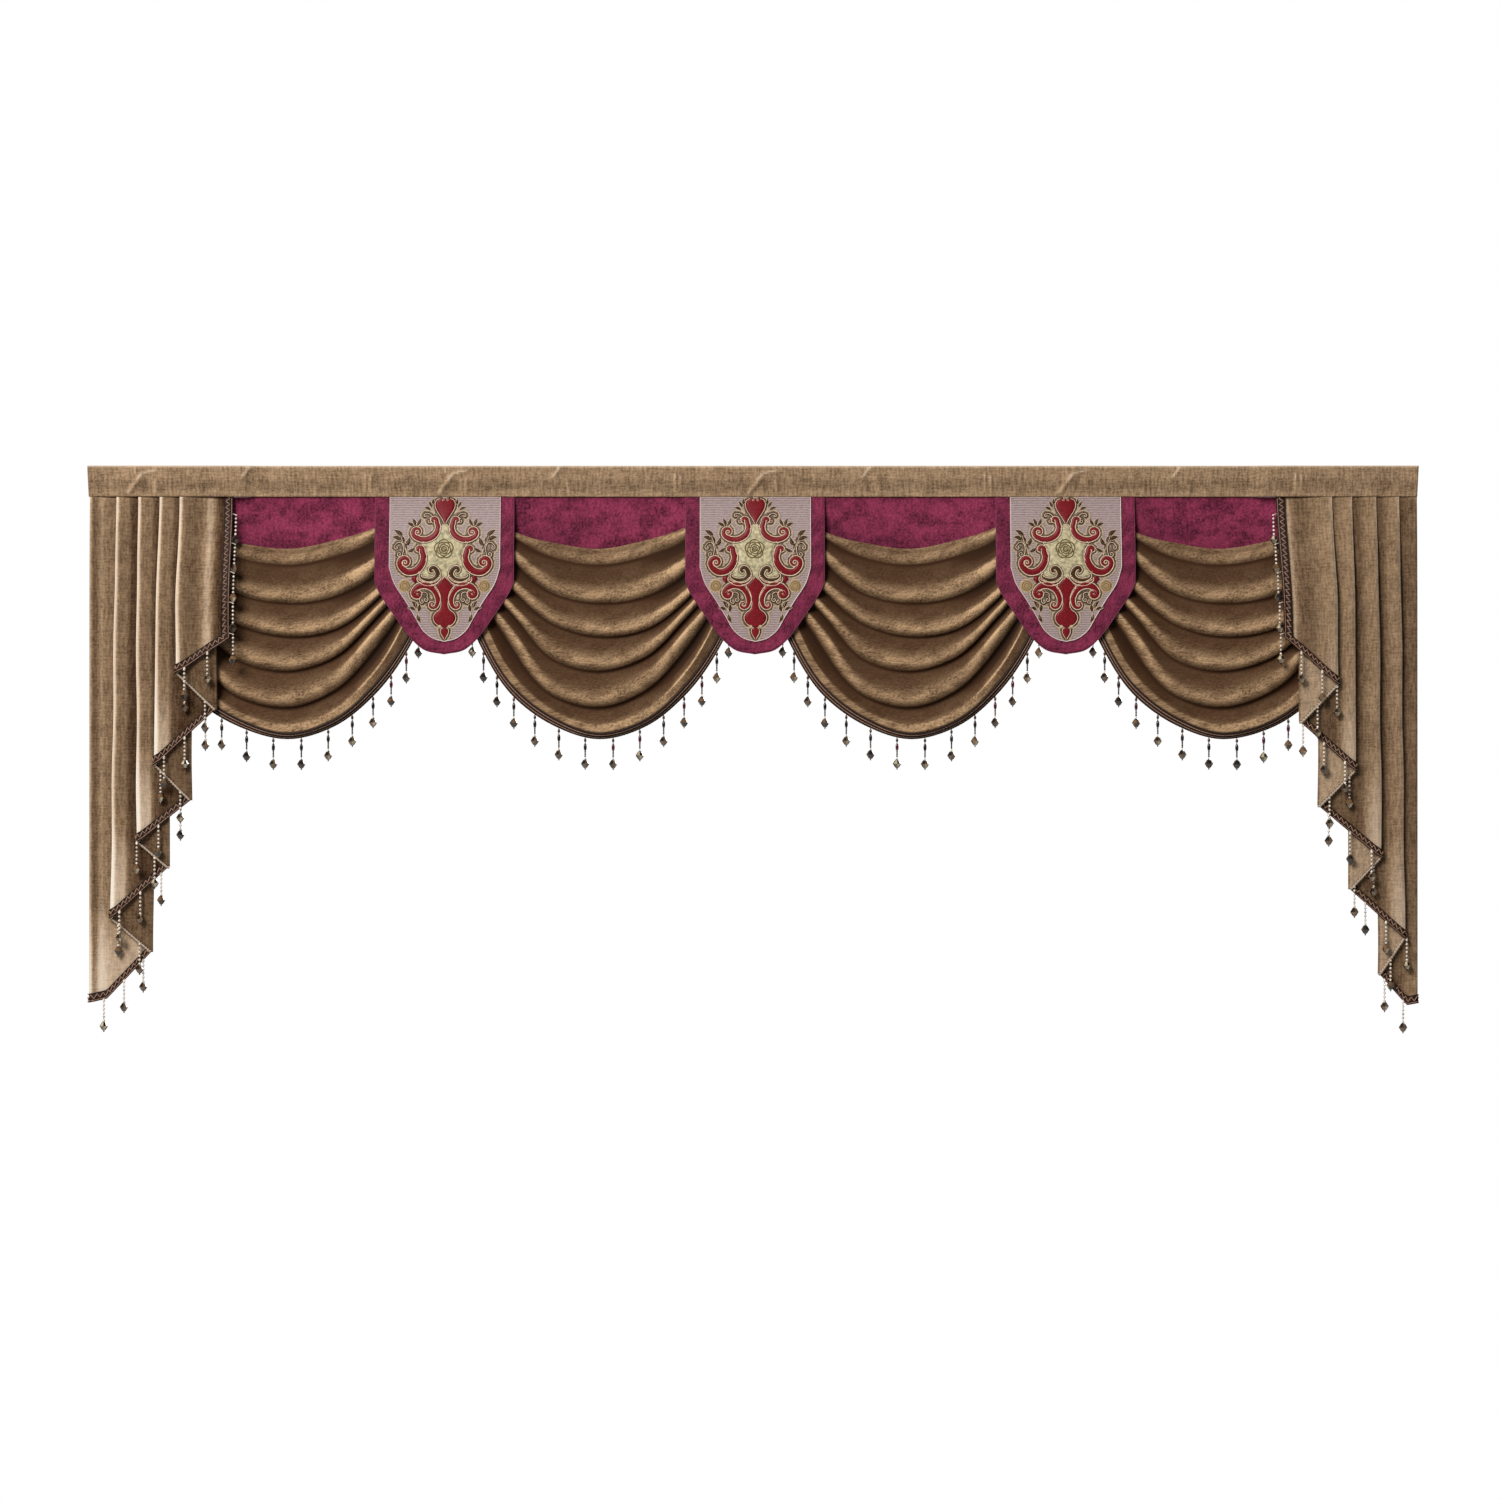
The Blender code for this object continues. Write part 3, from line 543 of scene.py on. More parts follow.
# Short names for the nodes in use: type, its inputs in order, the output that is read, settings.
NODES = {
    "uv": ("UVMap", (), "UV", {}),
    "place": ("TexCoord", (), "Object", {}),
    # The attribute read here holds painted light and shade on the cloth, and the distance from the motif on
    # the brocade.
    "worn": ("Attribute", (), "Fac", {"attribute_name": "worn"}),
    "down": ("SeparateXYZ", ("Vector",), "Y", {}),
    "scaled": ("Mapping", ("Vector", "Scale"), "Vector", {}),
    "noise": ("TexNoise", ("Vector", "Scale", "Detail"), "Fac", {}),
    "flat noise": ("TexNoise", ("Vector", "Scale", "Detail", "Roughness"), "Fac", {"noise_dimensions": "2D"}),
    "range": ("MapRange", ("Value", "From Min", "From Max", "To Min", "To Max"), "Result", {}),
    "mixed": ("Mix", (0, 6, 7), 2, {"data_type": "RGBA"}),
    "average": ("Mix", (0, 2, 3), 0, {"data_type": "FLOAT"}),
    "subtract": ("Math", (0, 1), 0, {"operation": "SUBTRACT"}),
    "multiply": ("Math", (0, 1), 0, {"operation": "MULTIPLY"}),
    "multiply add": ("Math", (0, 1, 2), 0, {"operation": "MULTIPLY_ADD"}),
    "sine": ("Math", (0,), 0, {"operation": "SINE"}),
    "bump": ("Bump", ("Height", "Strength", "Distance"), "Normal", {}),
    "camera ray": ("LightPath", (), "Is Camera Ray", {}),
    "background": ("Background", ("Color", "Strength"), 0, {}),
    "either": ("MixShader", (0, 1, 2), 0, {}),
}


def add(tree, kind, *inputs):
    """Adds a node, sets or joins its inputs and gives its output."""
    node_type, names, output, options = NODES[kind]
    node = tree.nodes.new("ShaderNode" + node_type)
    for name, value in options.items():
        setattr(node, name, value)
    for name, value in zip(names, inputs):
        if isinstance(value, bpy.types.NodeSocket):
            tree.links.new(value, node.inputs[name])
        else:
            node.inputs[name].default_value = value
    return node.outputs[output]


def new_material(name, **shader_inputs):
    """A material with one Principled shader, and its node tree."""
    material = bpy.data.materials.new(name)
    material.use_nodes = True
    shader = material.node_tree.nodes["Principled BSDF"]
    for key, value in shader_inputs.items():
        shader.inputs[key.replace("_", " ")].default_value = value
    return material, material.node_tree


def join(tree, colour, *raised):
    """Joins a colour, and a raised pattern with its strength and height, to the shader."""
    shader = tree.nodes["Principled BSDF"]
    tree.links.new(colour, shader.inputs["Base Color"])
    if raised:
        tree.links.new(add(tree, "bump", *raised), shader.inputs["Normal"])


def dimmed(colour, share):
    return tuple(share * value for value in colour[:3]) + (1.0,)


def grains(tree, uv, size, low, high, detail=2.0, rough=0.55):
    """Uneven grains of size = (along, down) metres, with full contrast between two levels of the noise."""
    place = add(tree, "scaled", uv, (1.0 / size[0], 1.0 / size[1], 1.0))
    return add(tree, "range", add(tree, "flat noise", place, 1.0, detail, rough), low, high)


def slub_chenille(name, dark, light, spread, highlight_levels):
    """Woven slub chenille: uneven soft threads both ways, which the eye reads as a fine broken hatching."""
    # The fibres scatter most of their gloss, so the specular level is low here and on the velvets.
    material, tree = new_material(name, Roughness=0.85, Specular_IOR_Level=0.15)
    uv = add(tree, "uv")
    # Threads are 1 to 2 mm thick. They are drawn 4 to 6 mm thick, so that they still show.
    across = grains(tree, uv, (0.034, 0.0042), 0.38, 0.62)
    down = grains(tree, uv, (0.0052, 0.030), 0.38, 0.62)
    fleck = grains(tree, uv, (0.0060, 0.0048), 0.40, 0.60, 1.0)
    weave = add(tree, "average", 0.30, add(tree, "average", 0.6, across, down), fleck)
    cloud = grains(tree, uv, (0.040, 0.070), 0.34, 0.66, 3.0, 0.6)
    texture = add(tree, "average", 0.22, weave, cloud)
    # The attribute holds the painted light and shade, which sets the tone of the cloth.
    worn = add(tree, "worn")
    # The threads stand out less where the painted light is low.
    reach = add(tree, "range", worn, 0.0, 0.45, 0.12, spread)
    tone = add(tree, "multiply add", add(tree, "subtract", texture, 0.5), reach, worn)
    # Painted highlight: past these levels of the painted light the cloth turns pale, as on the lit edge of a
    # sharp fold.
    painted_highlight = add(tree, "range", worn, *highlight_levels)
    cloth_and_light_colour = add(tree, "mixed", tone, dark, light)
    join(tree, add(tree, "mixed", painted_highlight, cloth_and_light_colour, linear("#EADFD0")), weave, 0.6, 0.0010)
    return material


def brushed_velvet(name, dark, light, patch, grain, streak, fine, spread, pile):
    """Brushed velvet: short pile that lies one way or the other, which shows as mottled light and dark.

    patch, grain and streak are sizes in metres along and down the cloth. fine is the share of the small ones,
    spread how unevenly the brushed pile and the painted highlights break into flecks, and pile how much the
    mottle shows where there is neither.
    """
    material, tree = new_material(name, Roughness=0.80, Specular_IOR_Level=0.15)
    uv = add(tree, "uv")
    patches = grains(tree, uv, patch, 0.40, 0.60, 4.0, 0.65)
    grain = grains(tree, uv, grain, 0.34, 0.66, 2.0, 0.7)
    lines = grains(tree, uv, streak, 0.34, 0.66)
    mottle = add(tree, "average", fine, patches, add(tree, "average", 0.3, grain, lines))
    worn = add(tree, "worn")
    # The painted highlights from the attribute, with the brushed pile under them, break up into flecks with
    # the mottle.
    flecked = add(tree, "multiply add", mottle, spread, 1.0 - spread / 2)
    tone = add(tree, "multiply add", mottle, pile, add(tree, "multiply", worn, flecked))
    # Painted shade: where the attribute falls below 0, deep in a tuck, the colour darkens toward a quarter of
    # the dark pile.
    painted_tuck_shade = add(tree, "range", worn, 0.0, -0.2)
    pile_and_light_colour = add(tree, "mixed", tone, dark, light)
    join(tree, add(tree, "mixed", painted_tuck_shade, pile_and_light_colour, dimmed(dark, 0.25)), grain, 0.4, 0.0007)
    return material


def bands(tree, value, period, low, high):
    """One light and one dark band in each period of a value."""
    sine = add(tree, "sine", add(tree, "multiply", value, math.tau / period))
    return add(tree, "range", sine, low, high)


def ribbed_brocade(ground):
    """Jacquard brocade: a lilac ground ribbed across, with bands of metallic thread that echo the motif."""
    material, tree = new_material("jacquard brocade ground", Roughness=0.50, Specular_IOR_Level=0.3)
    uv = add(tree, "uv")
    # The ribs are 5 mm apart, coarser than the real 1 mm so that they still show.
    ribs = bands(tree, add(tree, "down", uv), 0.0052, -0.6, 0.6)
    grain = grains(tree, uv, (0.009, 0.0030), 0.3, 0.7)
    plain = add(tree, "mixed", add(tree, "average", 0.45, ribs, grain), linear("#84706E"), ground)
    # On the brocade the attribute holds the distance from the motif in mm.
    fine = grains(tree, uv, (0.0060, 0.0060), 0.3, 0.7)
    away = add(tree, "multiply add", fine, 1.6, add(tree, "worn"))
    echo = bands(tree, away, 6.4, -0.5, 0.7)
    gold = add(tree, "mixed", add(tree, "average", 0.30, echo, fine), linear("#4E3A28"), linear("#C2AA8C"))
    # The bands fade out 8 to 12 mm from the motif, with a ragged edge.
    edge = add(tree, "range", away, 12.0, 8.0)
    join(tree, add(tree, "mixed", edge, plain, gold), add(tree, "average", edge, ribs, echo), 0.5, 0.0007)
    return material


def satin_thread(name, colour, dark_share, roughness, size):
    """Satin stitch or spun thread: a close sheen broken by stitches, drawn coarser than the real 0.3 mm."""
    material, tree = new_material(name, Roughness=roughness, Specular_IOR_Level=0.22)
    grain = add(tree, "noise", add(tree, "place"), 1.0 / size, 2.0)
    tone = add(tree, "range", grain, 0.30, 0.70)
    join(tree, add(tree, "mixed", tone, dimmed(colour, dark_share), colour), tone, 0.3, 0.0004)
    return material


def bead_glass(name, hex_colour, roughness, coat):
    """Pressed or cut glass bead: a hard gloss with a small bright highlight over a faintly clouded body."""
    material, tree = new_material(name, Roughness=roughness, IOR=1.52, Coat_Weight=coat)
    cloud = add(tree, "range", add(tree, "noise", add(tree, "place"), 120.0, 1.0), 0.35, 0.65)
    colour = linear(hex_colour)
    join(tree, add(tree, "mixed", cloud, dimmed(colour, 0.55), colour))
    return material


# Threads: key, name, colour or the setting that holds it, share of it in the dark stitches, roughness, grain.
Thread = namedtuple("Thread", "key name colour dark_share roughness grain", defaults=[0.6, 0.42, 0.0030])
THREADS = (
    Thread("red", "red satin stitch", "red", 0.5),
    Thread("cream", "cream satin stitch", "cream", 0.4, grain=0.0070),
    Thread("leaf", "old gold satin stitch", "#4C3216", 0.5),
    Thread("ochre", "ochre satin stitch", "#B0926A", 0.7),
    Thread("cord", "gold beige couched cord", "gold"),
    Thread("olive cord", "olive couched cord", "#77602F"),
    Thread("dark cord", "dark couched cord", "#3C241C"),
    Thread("piping", "pale piping", "#EADACE", 0.7),
    Thread("wine piping", "wine piping", "#8A4460", 0.7),
    Thread("braid", "woven braid ground", "braid", roughness=0.6),
    Thread("braid yarn", "mauve braid yarn", "#B08870", 0.5, 0.5),
    Thread("braid cord", "dark braid cord", "#2C1A12", roughness=0.5),
    Thread("braid edge", "pale turned edge of the braid", "#C4AE98", roughness=0.5),
)
# Bead finishes: name, colour, roughness, coat.
BEAD_FINISHES = (
    ("pearl lustre seed bead", "#F2E4D2", 0.3, 0.3),
    ("amber glass bead", "#5C3A26", 0.2, 0.3),
    ("smoked glass bead", "#2A1A12", 0.2, 0.3),
    ("wine glass bead", "#5A1626", 0.2, 0.3),
    ("olive glass seed bead", "#2C241A", 0.35, 0.1),
    # Cut crystal facets: amber and olive are the glass's own tints, the bright facet a painted highlight and
    # the dark facet a painted dark reflection.
    ("cut crystal, bright facet", "#CDBF9E", 0.12, 0.4),
    ("cut crystal, amber facet", "#7A5A3C", 0.12, 0.4),
    ("cut crystal, olive facet", "#6A5844", 0.12, 0.4),
    ("cut crystal, dark facet", "#241A14", 0.12, 0.4),
)
MATERIALS = {}
BEADS = []


def make_materials():
    """All the finishes, made once for the operators."""
    colours = settings()[1]
    MATERIALS["heading"] = slub_chenille(
        "slub chenille, heading", colours.heading_dark, colours.heading_light,
        spread=0.66, highlight_levels=(0.60, 1.15),
    )
    MATERIALS["tail"] = slub_chenille(
        "slub chenille, tails", colours.tail_dark, colours.tail_light,
        spread=0.52, highlight_levels=(0.36, 1.5),
    )
    MATERIALS["swag"] = brushed_velvet(
        "brushed swag velvet", colours.velvet_dark, colours.velvet_light,
        patch=(0.050, 0.030), grain=(0.0058, 0.0044), streak=(0.014, 0.0030),
        fine=0.70, spread=1.7, pile=0.05,
    )
    MATERIALS["wine"] = brushed_velvet(
        "crushed wine velvet", colours.wine_dark, colours.wine_light,
        patch=(0.060, 0.044), grain=(0.0050, 0.0056), streak=(0.0070, 0.024),
        fine=0.62, spread=2.0, pile=0.10,
    )
    MATERIALS["ground"] = ribbed_brocade(colours.ground)
    for key, name, colour, *finish in THREADS:
        colour = linear(colour) if colour.startswith("#") else getattr(colours, colour)
        MATERIALS[key] = satin_thread(name, colour, *finish)
    BEADS.extend(bead_glass(*finish) for finish in BEAD_FINISHES)


def finishes(*keys):
    return [MATERIALS[key] for key in keys]


# ---------------------------------------------------------------------- heading, panel, tabs


# Soft creases in the heading over each tab and swag: two ends as (distance from the tab's middle, drop), how
# far the crease stands out, its width and its painted light: a painted highlight along it and half as much
# painted shade beside it, the other way round where negative. They fade over a few millimetres at their ends.
Crease = namedtuple("Crease", "start end out width light")
HEADING_CREASES = (
    Crease((-0.0165, 0.064), (0.0185, 0.0175), 0.0030, 0.0040, 0.34),
    Crease((0.0185, 0.0175), (0.0525, 0.0100), 0.0022, 0.0028, 0.30),
    Crease((0.0020, 0.0060), (0.0030, 0.0200), 0.0016, 0.0026, 0.24),
    Crease((0.0465, 0.0300), (0.0480, 0.0620), 0.0022, 0.0036, 0.26),
    Crease((0.0280, 0.0300), (0.0240, 0.0640), -0.0020, 0.0050, -0.16),
    Crease((0.2395, 0.0290), (0.2590, 0.0030), 0.0026, 0.0030, 0.34),
    Crease((0.2750, 0.0300), (0.2780, 0.0640), 0.0016, 0.0036, 0.16),
    Crease((0.2560, 0.0340), (0.2520, 0.0640), -0.0016, 0.0050, -0.12),
    Crease((0.5160, 0.0160), (0.5180, 0.0610), 0.0022, 0.0030, 0.26),
    Crease((0.5300, 0.0200), (0.5270, 0.0610), 0.0022, 0.0030, 0.26),
    Crease((0.4180, 0.0500), (0.4500, 0.0500), -0.0012, 0.0050, -0.12),
    Crease((0.1200, 0.0480), (0.1900, 0.0460), -0.0010, 0.0060, -0.10),
)
CREASE_REPEATS = (-2, -1, 0, 1)


def heading_grid():
    """The heading from the foot of its back over the top to its turned front foot, and the painted light and
    shade on it.
    """
    inner = CLOTH / 2
    bottom = HEADING_HEIGHT - inner
    # The section: share of the depth forward, drop.
    back = [(0.0, bottom), (0.0, 0.036), (0.0, 0.0030), (0.0, 0.0006), (0.25, 0.0), (0.75, 0.0)]
    front = [(1.0, drop) for drop in np.linspace(0.0012, bottom - 0.0016, HEADING_FRONT_ROWS)]
    foot = [(0.94, bottom), (0.60, bottom), (0.30, bottom)]
    share, drop = np.array([*back, *front, *foot]).T[:, :, None]
    narrower = HEADING_HALF_WIDTH_FOOT - HEADING_HALF_WIDTH_TOP
    half_width = HEADING_HALF_WIDTH_TOP + narrower * drop / HEADING_HEIGHT
    at = np.linspace(-1.0, 1.0, HEADING_COLUMNS) * half_width
    share, drop, at = np.broadcast_arrays(share, drop, at)
    depth = HEADING_DEPTH + (HEADING_DEPTH_AT_TAILS - HEADING_DEPTH) * smoothstep(np.abs(at), *HEADING_RAMP)
    forward = inner + share * (depth - 2 * inner)
    # Painted light and shade down the heading's front.
    light = looked_up(HEADING_PAINTED_LIGHT, drop)
    # The cloth lies a little uneven, in two slow waves along the heading.
    out = -0.0006 * (1.0 - np.sin(at * 41.0) * np.sin(at * 17.0 + 1.0))
    for repeat in CREASE_REPEATS:
        for crease in HEADING_CREASES:
            start = np.array(crease.start) + (TAB_MIDDLE + repeat * PITCH, 0.0)
            way = np.array(crease.end) - crease.start
            length = float(np.hypot(*way))
            right, down = at - start[0], drop - start[1]
            along = (right * way[0] + down * way[1]) / length
            beside = (down * way[0] - right * way[1]) / length * (-1.0 if way[1] < 0.0 else 1.0)
            ends = smoothstep(along, -0.004, 0.006)
            ends = ends * (1.0 - smoothstep(along, length - 0.006, length + 0.004))
            ridge = np.exp(-((beside / crease.width) ** 2)) * ends
            shade = np.exp(-((beside / crease.width + 1.7) ** 2)) * ends
            out = out + crease.out * ridge
            # Painted highlight along the crease and painted shade beside it.
            light = light + crease.light * (ridge - 0.5 * shade)
    forward = np.where(share == 1.0, forward + out * np.sin(math.pi * drop / HEADING_HEIGHT) ** 0.5, forward)
    return np.stack([at, -forward, -np.maximum(drop, inner)], axis=2), light


def panel_depth(level):
    return PANEL_DEPTH + PANEL_ROLL * np.exp((CLOTH_TOP - level) / PANEL_ROLL_LENGTH)


def panel_grid():
    """The strip behind the swags, and the painted light and shade on it: lighter to the right of each swag
    than the left, with painted shade low on the left.
    """
    x = np.linspace(-PANEL_HALF_WIDTH, PANEL_HALF_WIDTH, PANEL_COLUMNS)
    level = CLOTH_TOP + (PANEL_FOOT - CLOTH_TOP) * np.linspace(0.0, 1.0, PANEL_ROWS)[:, None] ** 1.5
    grid = np.dstack(np.broadcast_arrays(x, -panel_depth(level), -level))
    # How far each column lies from the middle of its own swag, fading to nothing behind the tabs.
    from_middle = (x[:, None] - np.array(SWAG_MIDDLES)) / (PITCH / 2 - TAB_HALF_WIDTH)
    across = np.take_along_axis(from_middle, np.abs(from_middle).argmin(axis=1)[:, None], axis=1)[:, 0]
    across *= 1.0 - smoothstep(np.abs(across), 1.0, PITCH / (PITCH - 2 * TAB_HALF_WIDTH))
    low = smoothstep(-grid[..., 2], 0.09, 0.20)
    # Painted light on the right of each opening and painted shade low on its left.
    return grid, WINE_TONE * (1.06 + 0.12 * across - 0.34 * low * smoothstep(-across, -0.4, 1.0))


def tab_depth(level):
    return TAB_DEPTH_TOP + (TAB_DEPTH - TAB_DEPTH_TOP) * smoothstep(level, CLOTH_TOP, TAB_LEAN_FOOT)


def shield_grid(half_width, outline, forward, columns=48, rows=60):
    """A pointed shield round the middle line, which leans out from the heading and then hangs straight."""
    x = np.linspace(-half_width, half_width, columns + 1)
    foot = looked_up(curve_through(outline, 60), np.abs(x))
    level = CLOTH_TOP + np.linspace(0.0, 1.0, rows + 1)[:, None] * (foot - CLOTH_TOP)
    return np.dstack(np.broadcast_arrays(x, -(tab_depth(level) + forward), -level))


def tab_piping(middle):
    """Fine piping round the brocade and along the edge of the velvet border."""
    front = (TAB_FRONT_HALF_WIDTH, TAB_FRONT_OUTLINE, TAB_FRONT_SHIFT, TAB_FRONT_FORWARD, 0.0011)
    border = (TAB_HALF_WIDTH - PIPING_IN, TAB_OUTLINE, 0.0, 0.0, 0.0007)
    splines = []
    for kind, (half_width, outline, shift, forward, radius) in enumerate((front, border)):
        curve = curve_through(outline, 60)
        curve = curve[curve[:, 0] <= half_width]
        side = [(half_width, level) for level in np.linspace(CLOTH_TOP, outline[-1][1], 24)]
        right = np.array([*side, *curve[::-1]])
        x, level = np.concatenate([right, mirrored(right)[::-1]]).T
        points = np.stack([middle + shift + x, -(tab_depth(level) + forward + CLOTH / 2), -level], axis=1)
        splines.append((points, radius, kind))
    return splines


# ---------------------------------------------------------------------- swags


def furrow_depth(furrow, x, drop):
    """How far a soft crease moves the cloth forward at each point."""
    line = curve_through(furrow.points, 40)
    gaps = np.hypot(x[..., None] - line[:, 0], drop[..., None] - line[:, 1])
    nearest = gaps.argmin(axis=-1)
    along = np.sin(np.pi * np.linspace(0.0, 1.0, 40)) ** 0.7
    return furrow.out * along[nearest] * np.exp(-((gaps.min(axis=-1) / furrow.width) ** 2))


def swag_grid(middle, left_stretch, right_stretch):
    """The swag's cloth from its top edge to the hem, and at each point how far its pile is brushed up, with
    the painted light and shade on it.
    """
    base = []
    for line in SWAG_LINES:
        stations = [(-line.span, CLOTH_TOP), *zip(SWAG_STATIONS, line.drops), (line.span, CLOTH_TOP)]
        x, drop = curve_through(stations, SWAG_COLUMNS).T
        stretch = np.where(x < 0.0, left_stretch, right_stretch)
        x = x * stretch
        fade = np.cos(np.clip(np.abs(x) / (line.span * stretch), 0.0, 1.0) * math.pi / 2) ** SWAG_FADE_POWER
        left, right = line.bellies
        belly = left + (right - left) * smoothstep(x / line.span, *HEM_TURN)
        base.append(np.stack([x, drop, line.end_depth + belly * fade, fade], axis=1))
    base = np.array(base)
    slopes = np.gradient(base, axis=0)
    rows, brushed = [], []
    for i, line in enumerate(SWAG_LINES[:-1]):
        for t in np.linspace(0.0, 1.0, SWAG_FOLD_ROWS if line.draw else SWAG_HEM_ROWS, endpoint=False):
            x, drop, depth, fade = eased(base[i], slopes[i], base[i + 1], slopes[i + 1], t).T
            fade = np.clip(fade, 0.0, 1.0)
            in_middle = smoothstep(fade, 0.35, 0.95)
            # Painted highlights on the ridges, where the pile is brushed up too, and painted shade in the
            # tucks, for this row.
            piles_and_painted_light = [looked_up(table, t) for table in FOLD_PILE_AND_PAINTED_LIGHT.values()]
            if line.draw:
                draw = line.draw * fade**TUCK_FADE_POWER * (1.0 + (MIDDLE_TUCK - 1.0) * in_middle)
                depth = depth - float(smooth_value(FOLD_SECTION, t)) * (draw + SWAG_END_TUCK)
            else:
                piles_and_painted_light = HEM_PILE_AND_PAINTED_LIGHT[line.name]
            rows.append(np.stack([x, -depth, -drop], axis=1))
            pile = piles_and_painted_light[0] * in_middle + np.where(x < 0.0, piles_and_painted_light[1], piles_and_painted_light[2]) * (1.0 - in_middle)
            share = line.brushed + (SWAG_LINES[i + 1].brushed - line.brushed) * t
            brushed.append(pile * share * looked_up(PAINTED_LIGHT_ALONG_SWAG, x / line.span))
    rows.append(base[-1][:, (0, 2, 1)] * (1.0, -1.0, -1.0))
    brushed.append(np.full(SWAG_COLUMNS, 0.5))
    grid = np.array(rows)
    for furrow in SWAG_FURROWS:
        grid[..., 1] -= furrow_depth(furrow, grid[..., 0], -grid[..., 2])
    # The cloth's deepest folds still lie in front of the wine panel.
    grid[..., 1] = np.minimum(grid[..., 1], -panel_depth(-grid[..., 2]) - CLOTH)
    grid[..., 0] += middle
    return grid, np.array(brushed)


# ---------------------------------------------------------------------- tails


def layer_depths():
    """How far forward each of a tail's nine layers hangs once it has fanned out, from the front one back."""
    depths = [LAST_LAYER_DEPTH]
    for layer in range(len(TAIL_LEFT) - 3, -1, -1):
        depths.append(depths[-1] + (STEP_BEHIND_FRONT if layer % 2 == 0 else STEP_BEHIND_RETURN))
    return depths[::-1]


LAYER_DEPTHS = layer_depths()


def fanned_out(level):
    return smoothstep(level, CLOTH_TOP, CLOTH_TOP + FAN_LENGTH)


def layer_depth(layer, out, level):
    """How far forward a layer lies: stacked close under the heading, and fanned out below it."""
    opening = fanned_out(level)
    stacked = STACK_DEPTH - STACK_STEP * layer + STACK_LEAN * out
    return stacked * (1.0 - opening) + LAYER_DEPTHS[layer] * opening


def gap(layer, other, out, level):
    return np.abs(layer_depth(other, out, level) - layer_depth(layer, out, level))


def hem_gleam(side, level, drop):
    near_hem = smoothstep(level, *(drop - above for above in HEM_GLEAM_ABOVE))
    return 1.0 + HEM_GLEAM[side] * near_hem * smoothstep(level, *HEM_GLEAM_DROPS)


def column_places(layer, width):
    """Where a layer's columns stand, as shares of its width, closer beside a braid and a front fold."""
    count = math.ceil(width / TAIL_COLUMN_STEP)
    marks = list(np.linspace(0.0, 1.0, count + 1))
    if layer == 0:
        marks = [inward / width for inward in (0.0, 0.005, 0.010, 0.015)]
        marks += list(np.linspace(BRAID_WIDTH / width, 1.0, count - 2))
    if layer % 2 == 0:
        marks = sorted({*marks, *(1.0 - 0.001 * inward / width for inward in (1.5, 3.0, 4.5, 6.5, 9.0))})
    return marks


